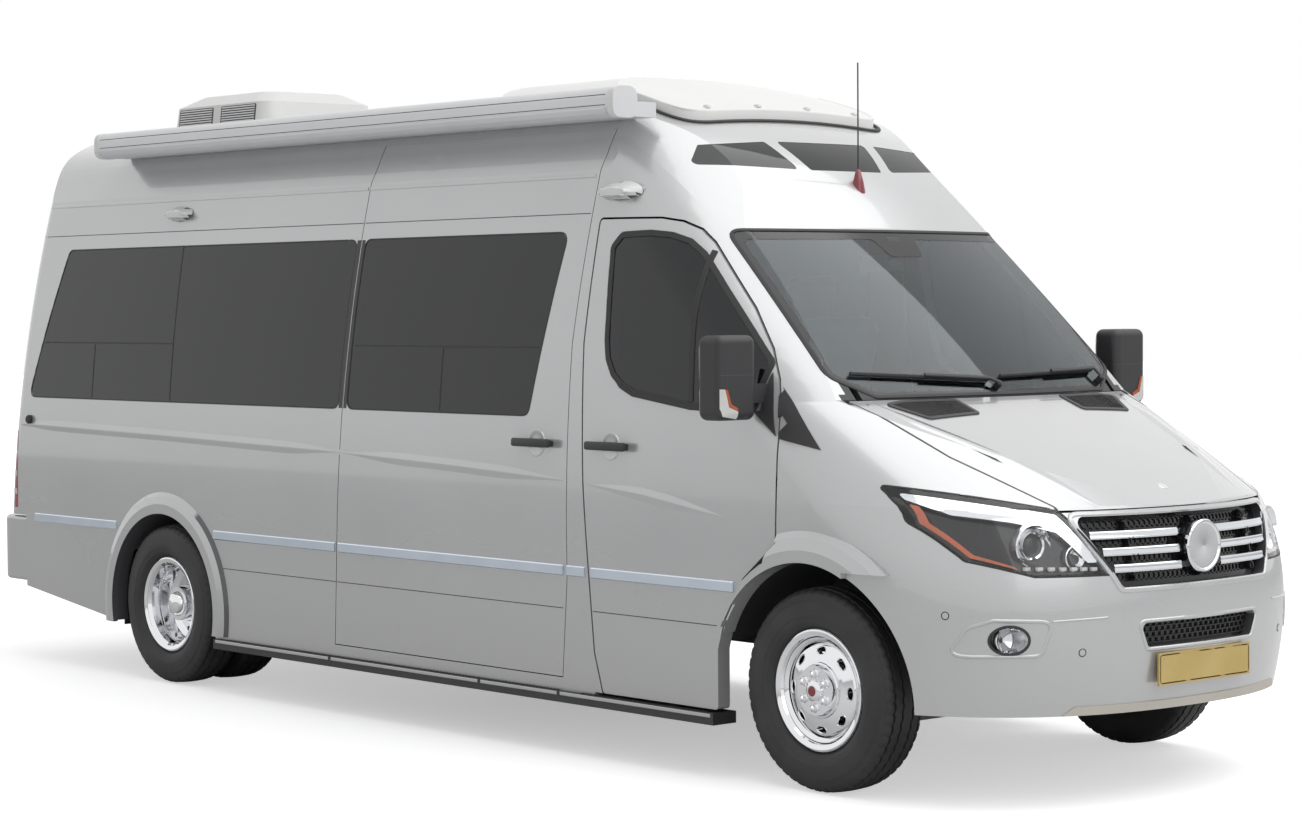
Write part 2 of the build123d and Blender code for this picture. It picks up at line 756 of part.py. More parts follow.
with BuildPart() as rear_window:
    add(glass_skin & tail_prism(rear_pane_outline, rear_pane_rounding, gap=-seat_gap))
finish(rear_window.part, "rear_window_right")
finish(left_of(rear_window.part), "rear_window_left")

with BuildPart() as rear_bumper:
    with BuildSketch(Plane.XY.offset(rear_bumper_bottom)) as bumper_plan:
        with Locations((ahead(tail_end), 0)):
            Rectangle(rear_bumper_length, 2 * body_half_width, align=(Align.MIN, Align.CENTER))
        fillet(bumper_plan.vertices().group_by(Axis.X)[0], rear_corner_radius + 20)
    extrude(amount=rear_bumper_top - panel_gap - rear_bumper_bottom)
    fillet(rear_bumper.edges().filter_by(GeomType.LINE).filter_by(Axis.Y).group_by(Axis.X)[0], 18)
    with Locations((ahead(-5830), 0, 0)):
        Box(400, 2 * (body_half_width - wall), 3000, align=(Align.MIN, Align.CENTER, Align.MIN), mode=Mode.SUBTRACT)
finish(rear_bumper.part, "rear_bumper")

# Underbody and running gear
axle_z = tyre_radius
firewall_thickness = 20
firewall_half = 880
cover_outer = body_half_width - wall - seat_gap


def wheelhouse(x, radius, low_z):
    """The inner cover over one right-hand wheel: a curved sheet and its inner wall."""
    with BuildPart() as cover:
        add(drum(x, (-cover_outer, -wheelhouse_inner), arch_z, radius + liner_wall))
        add(drum(x, (-cover_outer - 1, -wheelhouse_inner - liner_wall), arch_z, radius), mode=Mode.SUBTRACT)
        with Locations((x, 0, low_z)):
            Box(2000, 2400, 2000, align=(Align.CENTER, Align.CENTER, Align.MAX), mode=Mode.SUBTRACT)
    return cover.part


def wheel_space(x, radius, inner_y):
    """The room that a wheelhouse takes out of the floor, on both sides."""
    return [drum(x, (-1100, -inner_y), arch_z, radius), drum(x, (inner_y, 1100), arch_z, radius)]


with BuildPart() as floor:
    add(lining & block((-5830, firewall_from_axle), (-1000, 1000), (floor_z, floor_z + floor_thickness)))
    add(block((firewall_from_axle, firewall_from_axle + firewall_thickness), (-firewall_half, firewall_half),
              (floor_z, firewall_top_z)))
    add(wheel_space(front_axle_x, front_arch_radius + 2 * liner_wall + seat_gap, wheelhouse_inner - seat_gap),
        mode=Mode.SUBTRACT)
    add(wheel_space(rear_axle_x, rear_arch_radius + liner_wall, wheelhouse_inner), mode=Mode.SUBTRACT)
    add(both_sides(wheelhouse(rear_axle_x, rear_arch_radius, floor_z)))
finish(floor.part, "floor")

with BuildPart() as front_wheelhouses:
    add(both_sides(wheelhouse(front_axle_x, front_arch_radius + liner_wall, 520) & lining))
finish(front_wheelhouses.part, "front_wheelhouses")

crossmember_x = [-5450, -3300, -2100, -900, 600]
crossmember_bottom = rail_bottom_z + 10
with BuildPart() as chassis_frame:
    rail_edges = rail_half_track - rail_width / 2, rail_half_track + rail_width / 2
    rail = block((-5700, 940), (-rail_edges[1], -rail_edges[0]), (rail_bottom_z, floor_z - seat_gap))
    add(both_sides(rail & lining))
    for x in crossmember_x:
        add(block((x, x + 70), (-rail_half_track, rail_half_track), (crossmember_bottom, floor_z - 20)))
finish(chassis_frame.part, "chassis_frame")

with BuildPart() as fuel_tank:
    add(block((-2900, -1950), (-330, 330), (300, crossmember_bottom - seat_gap)))
    fillet(fuel_tank.edges().filter_by(Axis.X), 40)
finish(fuel_tank.part, "fuel_tank")

lower_arm = (250, 280)
upper_arm = (480, 505)
strut_y = 695
strut_radius = 25
strut_top = arch_z + front_arch_radius + liner_wall - 1
subframe_z = (235, 330)
engine_bottom_z = 372
eye_radius = 26
with BuildPart() as front_suspension:
    add(block((-110, 110), (-subframe_half, subframe_half), subframe_z))
    add(block((-90, 90), (-300, 300), (subframe_z[1], engine_bottom_z)))
    for y in (-rail_half_track, rail_half_track):
        add(block((-60, 60), (y - 30, y + 30), (subframe_z[1], rail_bottom_z - seat_gap)))
    for side in (-1, 1):
        inner_end = side * (subframe_half - 5)
        outer_end = side * steer_axis_half
        add(block((-30, 30), sorted((inner_end, outer_end)), lower_arm))
        add(block((-24, 24), sorted((side * strut_y, outer_end)), upper_arm))
        add(upright(front_axle_x, outer_end, lower_arm, eye_radius + 4))
        add(upright(front_axle_x, outer_end, upper_arm, eye_radius))
        add(upright(front_axle_x, side * strut_y, (lower_arm[0], strut_top), strut_radius))
        add(upright(front_axle_x, outer_end, lower_arm, kingpin_radius + running_gap), mode=Mode.SUBTRACT)
        add(upright(front_axle_x, outer_end, upper_arm, kingpin_radius + running_gap), mode=Mode.SUBTRACT)
finish(front_suspension.part, "front_suspension")

with BuildPart() as engine_block:
    add(block((-150, 560), (-270, 270), (engine_bottom_z + seat_gap, 960)))
    fillet(engine_block.edges().filter_by(Axis.X), 40)
finish(engine_block.part, "engine_block")

drum_radius = 140
with BuildPart() as knuckle_right:
    with Locations((front_axle_x, -steer_axis_half, lower_arm[1] + seat_gap)):
        Box(76, 40, upper_arm[0] - lower_arm[1] - 2 * seat_gap, align=(Align.CENTER, Align.CENTER, Align.MIN))
    add(upright(front_axle_x, -steer_axis_half, (lower_arm[0], upper_arm[1]), kingpin_radius))
    add(turned([(-steer_axis_half - 10, 0), (-steer_axis_half - 10, spindle_radius + 13),
                (-797, spindle_radius + 13), (-797, drum_radius), (-832, drum_radius),
                (-832, spindle_radius + 8), (-866, spindle_radius + 8), (-866, spindle_radius),
                (-front_track_half - 70, spindle_radius), (-front_track_half - 70, 0)], front_axle_x, axle_z))
finish(knuckle_right.part, "knuckle_right")
finish(left_of(knuckle_right.part), "knuckle_left")

spring_half_length = 680
spring_thickness = 28
with BuildPart() as rear_axle:
    add(turned([(-beam_half, 0), (-beam_half, 58), (beam_half, 58), (beam_half, 0)], rear_axle_x, axle_z))
    with Locations((rear_axle_x, 0, axle_z)):
        Sphere(165)
    spindle_end = rear_outer_track_half + 10
    add(turned([(-spindle_end, 0), (-spindle_end, spindle_radius), (spindle_end, spindle_radius), (spindle_end, 0)],
               rear_axle_x, axle_z))
    spring_high = rail_bottom_z - seat_gap
    spring_low = axle_z + 48
    for y in (-rail_half_track, rail_half_track):
        with BuildSketch(Plane.XZ.offset(-y - rail_width / 2)):
            with BuildLine():
                ThreePointArc((rear_axle_x - spring_half_length, spring_high), (rear_axle_x, spring_low),
                              (rear_axle_x + spring_half_length, spring_high))
                Line((rear_axle_x + spring_half_length, spring_high),
                     (rear_axle_x + spring_half_length, spring_high - spring_thickness))
                ThreePointArc((rear_axle_x + spring_half_length, spring_high - spring_thickness),
                              (rear_axle_x, spring_low - spring_thickness),
                              (rear_axle_x - spring_half_length, spring_high - spring_thickness))
                Line((rear_axle_x - spring_half_length, spring_high - spring_thickness),
                     (rear_axle_x - spring_half_length, spring_high))
            make_face()
        extrude(amount=rail_width)
finish(rear_axle.part, "rear_axle")

# Wheels. Profiles run outwards from the wheel's middle plane: distance out and radius.
rim_inner_width = rim_half_width - lip_thickness
bead = rim_inner_width - seat_gap
tyre_side = [
    (bead, rim_seat_radius + seat_gap), (bead, rim_lip_radius + 3), (93, 240), (104, 263), (tyre_bulge, 290),
    (103, 325), (94, 352), (78, 369), (50, tyre_radius - 2),
]
tyre_profile = [(-out, radius) for out, radius in tyre_side] + [(0, tyre_radius)] + tyre_side[::-1]
barrel_outside = [
    (-rim_half_width, 206), (-rim_half_width, rim_lip_radius), (-rim_inner_width, rim_lip_radius),
    (-rim_inner_width, rim_seat_radius), (rim_inner_width, rim_seat_radius), (rim_inner_width, rim_lip_radius),
    (rim_half_width, rim_lip_radius), (rim_half_width, 206),
]
bore = spindle_radius + running_gap
front_rim_profile = barrel_outside + [
    (60, 191), (44, 184), (60, 163), (70, 120), (74, 98), (98, 90), (98, bore), (20, bore), (20, 88),
    (46, 118), (34, 163), (20, 186), (-60, 191),
]
mate = twin_spacing / 2
outer_rim_profile = barrel_outside + [
    (60, 191), (20, 182), (-40, 176), (-58, 150), (-62, 100), (-20, 88), (36, 80), (36, bore), (-mate, bore),
    (-mate, 160), (-108, 160), (-74, 184), (-66, 192),
]
inner_rim_profile = barrel_outside + [
    (66, 192), (112, 168), (mate, 160), (mate, bore), (40, bore), (40, 80), (106, 90), (106, 150),
    (50, 184), (-60, 191),
]


def wheel_profile(points, middle):
    """A right-hand wheel's profile moved to its middle plane."""
    return [(-middle - out, radius) for out, radius in points]


vent_count = 8
with BuildPart() as front_rim:
    add(turned(wheel_profile(front_rim_profile, front_track_half), front_axle_x, axle_z))
    with BuildSketch(Plane.XZ.offset(front_track_half - 10)):
        with Locations((front_axle_x, axle_z)):
            with PolarLocations(145, vent_count):
                SlotOverall(44, 26, rotation=90)
    extrude(amount=120, mode=Mode.SUBTRACT)
finish(front_rim.part, "front_rim_right")
finish(left_of(front_rim.part), "front_rim_left")

with BuildPart() as front_tyre:
    add(turned(wheel_profile(tyre_profile, front_track_half), front_axle_x, axle_z))
finish(front_tyre.part, "front_tyre_right")
finish(left_of(front_tyre.part), "front_tyre_left")

rear_inner_track_half = rear_outer_track_half - twin_spacing
with BuildPart() as rear_rims:
    add(turned(wheel_profile(outer_rim_profile, rear_outer_track_half), rear_axle_x, axle_z))
    add(turned(wheel_profile(inner_rim_profile, rear_inner_track_half), rear_axle_x, axle_z))
finish(rear_rims.part, "rear_rims_right")
finish(left_of(rear_rims.part), "rear_rims_left")

with BuildPart() as rear_tyres:
    for middle in (rear_outer_track_half, rear_inner_track_half):
        add(turned(wheel_profile(tyre_profile, middle), rear_axle_x, axle_z))
finish(rear_tyres.part, "rear_tyres_right")
finish(left_of(rear_tyres.part), "rear_tyres_left")


# Trim outside the body: wheel arch flares, steps and mud flaps
def flare(x, radius, width, cuts):
    """A raised lip around one right-hand wheel arch, running down to the sill."""
    side = body_half_width
    section = [
        (-side + 40, radius), (-side - flare_reach, radius), (-side - flare_reach, radius + 45),
        (-side - flare_reach * 0.6, radius + 0.75 * width), (-side + 6, radius + width), (-side + 40, radius + width),
    ]
    with BuildPart() as lip:
        add(turned(section, x, arch_z))
        with Locations((x, 0, door_sill_z)):
            Box(2000, 2400, 1000, align=(Align.CENTER, Align.CENTER, Align.MAX), mode=Mode.SUBTRACT)
        add([clear_skin] + cuts, mode=Mode.SUBTRACT)
    return lip.part


with BuildPart() as wheel_arch_flares:
    door_clear = side_prism(front_door_outline, door_rounding, gap=panel_gap + 4)
    ahead_of_arch = block((200, 1200), (-1200, 0), (0, bumper_top_z + 6))
    front_cuts = [door_clear, side_prism(flare_relief), ahead_of_arch]
    add(both_sides(flare(front_axle_x, front_arch_radius, front_flare_width, front_cuts)))
    add(both_sides(flare(rear_axle_x, rear_arch_radius, rear_flare_width, [])))
finish(wheel_arch_flares.part, "wheel_arch_flares")

board_rear = -wheelbase + rear_arch_radius
board_front = -475
with BuildPart() as running_boards:
    add(both_sides(block((board_rear, board_front), (-1018, -900), (sill_z - board_depth, sill_z))))
finish(running_boards.part, "running_boards")

flap_behind = 465
with BuildPart() as mud_flaps:
    flap_x = -wheelbase - flap_behind
    add(both_sides(block((flap_x - 8, flap_x), (-cover_outer, -560), (240, floor_z - seat_gap))))
finish(mud_flaps.part, "mud_flaps")

# Roof fittings
awning_rear = -5010
awning_front = -1110
with BuildPart() as awning:
    with BuildSketch(Plane.YZ.offset(ahead(awning_rear))):
        with Locations((-880, 2572)):
            RectangleRounded(124, 122, 44)
        with Locations((-775, 2545)):
            Rectangle(110, 60)
    extrude(amount=awning_front - awning_rear)
    add(clear_skin, mode=Mode.SUBTRACT)
finish(awning.part, "awning")

cooler_x = ahead(-4850)
cooler_tiers = [(2600, 880, 700, 90), (2790, 840, 660, 90), (2845, 640, 480, 90)]
with BuildPart() as air_conditioner:
    for z, length, width, corner in cooler_tiers:
        with BuildSketch(Plane.XY.offset(z)):
            with Locations((cooler_x, 0)):
                RectangleRounded(length, width, corner)
    loft(ruled=True)
    add(clear_skin, mode=Mode.SUBTRACT)
finish(air_conditioner.part, "air_conditioner")

fairing_height = 38
with BuildPart() as roof_fairing:
    with BuildSketch(Plane.XY.offset(2300)):
        with Locations((ahead(-1720), 0)):
            RectangleRounded(1240, 1180, 160)
    extrude(amount=600)
    add(envelope(-fairing_height), mode=Mode.INTERSECT)
    add(clear_skin, mode=Mode.SUBTRACT)
finish(roof_fairing.part, "roof_fairing")

with BuildPart() as antenna:
    with Locations((ahead(-705), 0, 2200)):
        Cone(30, 9, 105, align=(Align.CENTER, Align.CENTER, Align.MIN))
        Cylinder(3, 540, align=(Align.CENTER, Align.CENTER, Align.MIN))
    add(clear_skin, mode=Mode.SUBTRACT)
finish(antenna.part, "antenna")

# Cab: dashboard, steering wheel and seats
dash_outline = [
    (-620, 1190), (-570, 1300), (-180, 1365), (-40, 1380), (-40, 1345), (-160, firewall_top_z + 2),
    (firewall_from_axle - seat_gap, firewall_top_z + 2), (firewall_from_axle - seat_gap, 960), (-480, 960),
    (-610, 1110),
]
wheel_centre = (ahead(-700), 420, 1240)
column_plane = Plane(origin=wheel_centre, x_dir=(0, 1, 0), z_dir=(-0.6, 0, 0.8))
shaft_radius = 10
shaft_length = 200
column_radius = 32
with BuildPart() as dashboard:
    with BuildSketch(Plane.XZ):
        with BuildLine():
            Polyline([(ahead(x), z) for x, z in dash_outline], close=True)
        make_face()
    extrude(amount=850, both=True)
    for y in (-1, 1):
        with Locations((front_hinge_x, y * 930, 1200)):
            Box(500, 460, 600, align=(Align.MIN, Align.CENTER, Align.CENTER), mode=Mode.SUBTRACT)
    add(lining, mode=Mode.INTERSECT)
    with BuildSketch(column_plane.offset(-230)):
        Circle(column_radius)
    extrude(amount=180)
    with BuildSketch(column_plane.offset(-shaft_length - seat_gap)):
        Circle(shaft_radius + running_gap)
    extrude(amount=shaft_length, mode=Mode.SUBTRACT)
finish(dashboard.part, "dashboard")

wheel_radius = 195
wheel_tube = 14
with BuildPart() as steering_wheel:
    with BuildSketch(column_plane * Plane.XZ) as rim_section:
        with Locations((wheel_radius, 0)):
            Circle(wheel_tube)
    revolve(axis=Axis(wheel_centre, (-0.6, 0, 0.8)))
    with BuildSketch(column_plane.offset(-30)):
        Circle(58)
    extrude(amount=40)
    with BuildSketch(column_plane.offset(-18)):
        Rectangle(2 * wheel_radius, 34)
        with Locations((0, -wheel_radius / 2)):
            Rectangle(34, wheel_radius)
    extrude(amount=14)
    with BuildSketch(column_plane.offset(-shaft_length)):
        Circle(shaft_radius)
    extrude(amount=shaft_length - 20)
finish(steering_wheel.part, "steering_wheel")

seat_y = 420
with BuildPart() as front_seats:
    for y in (-seat_y, seat_y):
        add(block((-1330, -880), (y - 215, y + 215), (floor_z + floor_thickness, 900)))
        add(block((-1350, -830), (y - 250, y + 250), (900, 1050)))
        with BuildSketch(Plane.XZ.offset(-y - 235)):
            with BuildLine():
                Polyline([(ahead(x), z) for x, z in ((-1310, 1000), (-1190, 1000), (-1340, 1720), (-1440, 1720))],
                         close=True)
            make_face()
        extrude(amount=470)
        add(block((-1450, -1360), (y - 130, y + 130), (1700, 1900)))
finish(front_seats.part, "front_seats")
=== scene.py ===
# %% [markdown]
# # A camper van around its frame
# The frame holds every solid part of the van: panels, glass, wheels, doors and chassis. This
# lesson gives each solid its finish and adds the thin things that were left off: seals, seams,
# lamp insides, tread, nuts, slats and seats. Lengths are in metres. X points ahead, Y to the
# van's left and Z up, and heights start at the ground.
# %% Load the frame
import json
import math

import bpy
import bmesh
from mathutils import Matrix, Vector
from mathutils.bvhtree import BVHTree
from mathutils.geometry import delaunay_2d_cdt


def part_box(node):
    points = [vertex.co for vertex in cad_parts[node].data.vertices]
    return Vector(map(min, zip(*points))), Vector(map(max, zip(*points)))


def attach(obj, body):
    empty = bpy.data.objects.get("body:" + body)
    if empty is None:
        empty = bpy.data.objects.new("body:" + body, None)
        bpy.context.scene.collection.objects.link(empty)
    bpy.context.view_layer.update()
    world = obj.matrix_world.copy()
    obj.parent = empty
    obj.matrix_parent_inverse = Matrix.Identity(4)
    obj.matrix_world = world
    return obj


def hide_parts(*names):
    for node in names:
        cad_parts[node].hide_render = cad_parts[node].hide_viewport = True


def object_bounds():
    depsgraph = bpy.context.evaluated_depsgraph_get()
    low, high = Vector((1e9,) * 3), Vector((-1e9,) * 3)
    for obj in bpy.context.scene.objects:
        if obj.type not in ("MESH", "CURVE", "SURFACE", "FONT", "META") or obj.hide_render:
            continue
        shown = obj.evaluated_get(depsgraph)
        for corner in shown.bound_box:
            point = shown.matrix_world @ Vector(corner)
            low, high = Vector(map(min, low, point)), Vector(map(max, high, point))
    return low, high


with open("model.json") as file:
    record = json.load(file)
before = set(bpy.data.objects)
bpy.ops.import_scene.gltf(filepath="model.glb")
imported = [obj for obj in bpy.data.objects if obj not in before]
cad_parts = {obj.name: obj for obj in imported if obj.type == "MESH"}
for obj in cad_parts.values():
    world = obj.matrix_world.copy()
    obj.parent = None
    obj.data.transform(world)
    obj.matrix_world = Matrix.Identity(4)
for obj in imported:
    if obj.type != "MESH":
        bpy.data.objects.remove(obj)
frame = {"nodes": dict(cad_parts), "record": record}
size_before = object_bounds()
nodes = frame["nodes"]
FRONT_AXLE = 2.4525
REAR_AXLE = FRONT_AXLE - 4.325
AXLE_HEIGHT = 0.375
FRONT_WHEEL, REAR_OUTER_WHEEL, REAR_INNER_WHEEL = 0.855, 0.893, 0.643
RIGHT, LEFT = -1, 1

# %% [markdown]
# ## Arithmetic on sockets
# A finish is a small formula: dust grows towards the sill, a cast skin is rough in patches. Nodes
# wired one by one hide the formula. A class that wraps a socket lets it be written as Python.
# %% A socket that can be added and multiplied
class Value:
    """One output socket of a material, or a number, that adds Math nodes when it is used in a sum."""

    def __init__(self, tree, socket):
        self.tree = tree
        self.socket = socket

    def maths(self, operation, *terms, clamp=False):
        sockets = dict(enumerate(terms))
        return node(self.tree, "ShaderNodeMath", {"operation": operation, "use_clamp": clamp}, sockets)

    def __add__(self, other):
        return self.maths("ADD", self, other)

    def __sub__(self, other):
        return self.maths("SUBTRACT", self, other)

    def __rsub__(self, other):
        return self.maths("SUBTRACT", other, self)

    def __mul__(self, other):
        return self.maths("MULTIPLY", self, other)

    __radd__ = __add__
    __rmul__ = __mul__

    def above(self, edge, width):
        """Ramp from 0 to 1 as this value passes an edge, over a width."""
        return self.maths("MULTIPLY_ADD", self, 1 / width, -edge / width + 0.5, clamp=True)

    def clamped(self):
        return self.maths("ADD", self, 0.0, clamp=True)


def node(tree, kind, settings=None, sockets=None, output=0):
    """Add a node: settings first, then the values or links of its sockets. Returns one output."""
    made = tree.nodes.new(kind)
    for name, setting in (settings or {}).items():
        if name == "stops":
            elements = made.color_ramp.elements
            while len(elements) < len(setting):
                elements.new(0.5)
            for element, (position, colour) in zip(elements, setting):
                element.position = position
                element.color = (*colour, 1)
        else:
            setattr(made, name, setting)
    for name, value in (sockets or {}).items():
        if isinstance(value, Value):
            tree.links.new(value.socket, made.inputs[name])
        else:
            made.inputs[name].default_value = value
    return Value(tree, made.outputs[output])


# %% [markdown]
# ## One recipe for most finishes
# Real surfaces are never one flat colour: the shade drifts over a hand's width, the gloss is
# uneven, and a fine grain breaks the light. Each finish below mixes two close colours by a slow
# noise, moves the roughness by the same noise, and feeds a fine noise to a bump.
# %% The recipe
finishes = {}


def finish(name, low, high, rough, drift=3.0, grain=400.0, bump=0.1, depth=0.0004, swing=0.08, extra=None, tune=None):
    """Make a finish between two colours. tune() may change colour, roughness and height before they are wired."""
    material = bpy.data.materials.new(name)
    material.use_nodes = True
    tree = material.node_tree
    shader = tree.nodes["Principled BSDF"]
    place = node(tree, "ShaderNodeTexCoord", output="Object")
    patch = node(tree, "ShaderNodeTexNoise", sockets={"Vector": place, "Scale": drift, "Detail": 3.0})
    fine = node(tree, "ShaderNodeTexNoise", sockets={"Vector": place, "Scale": grain, "Detail": 2.0})
    colour = mixed(tree, patch, (*low, 1), (*high, 1))
    roughness = patch * swing + (rough - swing / 2)
    height = fine
    if tune:
        colour, roughness, height = tune(tree, place, patch, fine, colour, roughness, height)
    tree.links.new(colour.socket, shader.inputs["Base Color"])
    tree.links.new(roughness.socket, shader.inputs["Roughness"])
    normal = node(tree, "ShaderNodeBump", sockets={"Height": height, "Strength": bump, "Distance": depth})
    tree.links.new(normal.socket, shader.inputs["Normal"])
    for socket, value in (extra or {}).items():
        shader.inputs[socket].default_value = value
    material.diffuse_color = (*high, 1)
    finishes[name] = material
    return material


def mixed(tree, share, first, second):
    """Mix two colours by a share."""
    sockets = {0: share, 6: first, 7: second}
    return node(tree, "ShaderNodeMix", {"data_type": "RGBA"}, sockets, output=2)


def height_of(tree, place):
    """The height above the ground at each place."""
    return node(tree, "ShaderNodeSeparateXYZ", sockets={0: place}, output="Z")


# %% [markdown]
# ## Pearl silver paint
# The body is a pale pearl silver under clear lacquer. Its tiny flakes tilt each its own way: very
# fine random cells tilt them in the bump and lift the colour towards a lighter grey, a painted
# glint of the flakes that catch the light. Road dust gathers low on the sides.
# The same solids also form the inner walls, which are trimmed in dark cloth. A face that looks
# towards the middle of the van takes that colour, so no second material is needed.
# %% Paint
VAN_MIDDLE = (0.6, 0.0, 1.2)


def pearl(tree, place, patch, fine, colour, roughness, height):
    low_down = 1 - height_of(tree, place).above(0.55, 0.7)
    dust = (patch * low_down * 0.5).clamped()
    flakes = node(tree, "ShaderNodeTexVoronoi", sockets={"Vector": place, "Scale": 900.0}, output="Color")
    spark = node(tree, "ShaderNodeSeparateColor", sockets={0: flakes}, output=0)
    # Painted glint: the flake cells lighten the colour where flakes would catch the light.
    colour = mixed(tree, spark * 0.12, colour, (0.72, 0.73, 0.75, 1))
    colour = mixed(tree, dust, colour, (0.36, 0.355, 0.34, 1))
    outward = node(tree, "ShaderNodeVectorMath", {"operation": "SUBTRACT"}, {0: place, 1: VAN_MIDDLE})
    facing = node(tree, "ShaderNodeVectorMath", {"operation": "DOT_PRODUCT"},
                  {0: node(tree, "ShaderNodeNewGeometry", output="Normal"), 1: outward}, output="Value")
    lining = 1 - facing.above(-0.10, 0.05)
    colour = mixed(tree, lining, colour, (0.10, 0.10, 0.11, 1))
    return colour, roughness + dust * 0.25 + lining * 0.4, spark


finish("paint", (0.50, 0.505, 0.51), (0.57, 0.575, 0.58), 0.26, drift=1.3, bump=0.03, depth=0.0002, swing=0.05,
       extra={"Metallic": 0.40, "Coat Weight": 1.0, "Coat Roughness": 0.04}, tune=pearl)

# %% [markdown]
# ## Glass
# The living-area windows are nearly black from outside, the cab's are only lightly tinted. Both
# let light pass, so that the seats and the far windows show through. A faint film of dust
# changes the roughness by a hair.
# %% Glass finishes
CLEAR = {"Transmission Weight": 1.0, "IOR": 1.45}
finish("dark_glass", (0.010, 0.014, 0.021), (0.016, 0.021, 0.030), 0.02, drift=0.8, bump=0.01, swing=0.02,
       extra={"Transmission Weight": 0.8, "IOR": 1.5})
finish("clear_glass", (0.46, 0.57, 0.61), (0.52, 0.62, 0.65), 0.015, drift=0.8, bump=0.005, swing=0.01, extra=CLEAR)
finish("lamp_lens", (0.90, 0.92, 0.94), (0.95, 0.96, 0.97), 0.02, drift=2.0, bump=0.01, swing=0.01,
       extra={"Transmission Weight": 1.0, "IOR": 1.12, "Coat Weight": 1.0, "Coat Roughness": 0.01})
finish("red_lens", (0.36, 0.010, 0.012), (0.48, 0.018, 0.02), 0.10, bump=0.25, grain=160.0,
       extra={"Coat Weight": 1.0, "Transmission Weight": 0.15})
finish("amber_lens", (0.42, 0.065, 0.010), (0.55, 0.10, 0.015), 0.12, bump=0.3, grain=160.0, extra={"Coat Weight": 1.0})
finish("pale_lens", (0.62, 0.62, 0.60), (0.75, 0.75, 0.72), 0.12, bump=0.4, grain=150.0, extra={"Coat Weight": 1.0})

# %% [markdown]
# ## Plastics, rubber and cloth
# Moulded black plastic has a leathery grain, rubber is duller and picks up grey dust, seat cloth
# has a visible weave. Only the colours, the size of the grain and the gloss change.
# %% Plastics, rubber and cloth
def weave(tree, place, patch, fine, colour, roughness, height):
    threads = node(tree, "ShaderNodeTexWave", {"bands_direction": "DIAGONAL"}, {"Vector": place, "Scale": 260.0})
    across = node(tree, "ShaderNodeTexWave", {"bands_direction": "X"}, {"Vector": place, "Scale": 310.0})
    cloth = threads * across
    return mixed(tree, cloth * 0.5, colour, (0.16, 0.16, 0.17, 1)), roughness, cloth


def road_grey(tree, place, patch, fine, colour, roughness, height):
    return mixed(tree, patch * patch * 0.35, colour, (0.13, 0.125, 0.115, 1)), roughness, height


def graze(tree, place, patch, fine, colour, roughness, height):
    grain = node(tree, "ShaderNodeTexVoronoi", sockets={"Vector": place, "Scale": 700.0}, output="Distance")
    return colour, roughness, grain


finish("black_plastic", (0.022, 0.022, 0.024), (0.038, 0.038, 0.041), 0.46, bump=0.35, tune=graze)
finish("gloss_black", (0.010, 0.010, 0.012), (0.016, 0.016, 0.018), 0.14, bump=0.03, swing=0.04)
finish("white_plastic", (0.80, 0.80, 0.79), (0.87, 0.87, 0.86), 0.34, bump=0.08)
finish("dash_plastic", (0.44, 0.46, 0.44), (0.55, 0.57, 0.54), 0.62, bump=0.3, tune=graze)
finish("tyre_rubber", (0.013, 0.013, 0.014), (0.026, 0.026, 0.027), 0.56, drift=6.0, bump=0.25, tune=road_grey)
finish("flap_rubber", (0.018, 0.018, 0.019), (0.032, 0.032, 0.033), 0.66, bump=0.3, tune=road_grey)
finish("seal_rubber", (0.014, 0.014, 0.015), (0.024, 0.024, 0.025), 0.55, bump=0.1)
finish("seat_fabric", (0.17, 0.17, 0.18), (0.25, 0.25, 0.26), 0.85, bump=0.5, tune=weave, extra={"Sheen Weight": 0.3})
finish("lip_plastic", (0.50, 0.47, 0.42), (0.60, 0.57, 0.51), 0.5, bump=0.2, tune=graze)
finish("seam_shadow", (0.05, 0.05, 0.055), (0.08, 0.08, 0.085), 0.6, bump=0.05)

# %% [markdown]
# ## Metals
# Chrome is a mirror with a few smears, brushed steel and castings are rougher and darker, and the
# awning case is satin aluminium. The blank plate is a dull gold.
# %% Metals
METAL = {"Metallic": 1.0}


def streaks(tree, place, patch, fine, colour, roughness, height):
    long = node(tree, "ShaderNodeMapping", sockets={"Vector": place, "Scale": (2.0, 60.0, 60.0)})
    drawn = node(tree, "ShaderNodeTexNoise", sockets={"Vector": long, "Scale": 6.0, "Detail": 4.0})
    return colour, roughness + drawn * 0.12, drawn


def crusty(tree, place, patch, fine, colour, roughness, height):
    rust = patch.above(0.60, 0.2) * 0.55
    return mixed(tree, rust, colour, (0.16, 0.075, 0.04, 1)), roughness + rust * 0.3, height


finish("chrome_rim", (0.74, 0.75, 0.77), (0.86, 0.86, 0.87), 0.07, drift=9.0, bump=0.02, swing=0.06, extra=METAL)
finish("grille_chrome", (0.62, 0.64, 0.67), (0.76, 0.78, 0.80), 0.12, drift=9.0, bump=0.02, swing=0.06, extra=METAL)
finish("strip_chrome", (0.62, 0.70, 0.80), (0.76, 0.82, 0.90), 0.16, drift=5.0, bump=0.03, swing=0.10, extra=METAL)
finish("awning_case", (0.70, 0.71, 0.72), (0.78, 0.79, 0.80), 0.36, bump=0.06, tune=streaks, extra={"Metallic": 0.35})
finish("steel", (0.10, 0.10, 0.105), (0.17, 0.17, 0.175), 0.52, drift=12.0, bump=0.2, extra={"Metallic": 0.6},
       tune=crusty)
finish("cast", (0.085, 0.08, 0.078), (0.14, 0.135, 0.13), 0.66, drift=14.0, bump=0.6, grain=220.0,
       extra={"Metallic": 0.5}, tune=crusty)
finish("plate_brass", (0.52, 0.38, 0.13), (0.66, 0.50, 0.22), 0.34, drift=7.0, bump=0.06, swing=0.12,
       extra={"Metallic": 0.75})
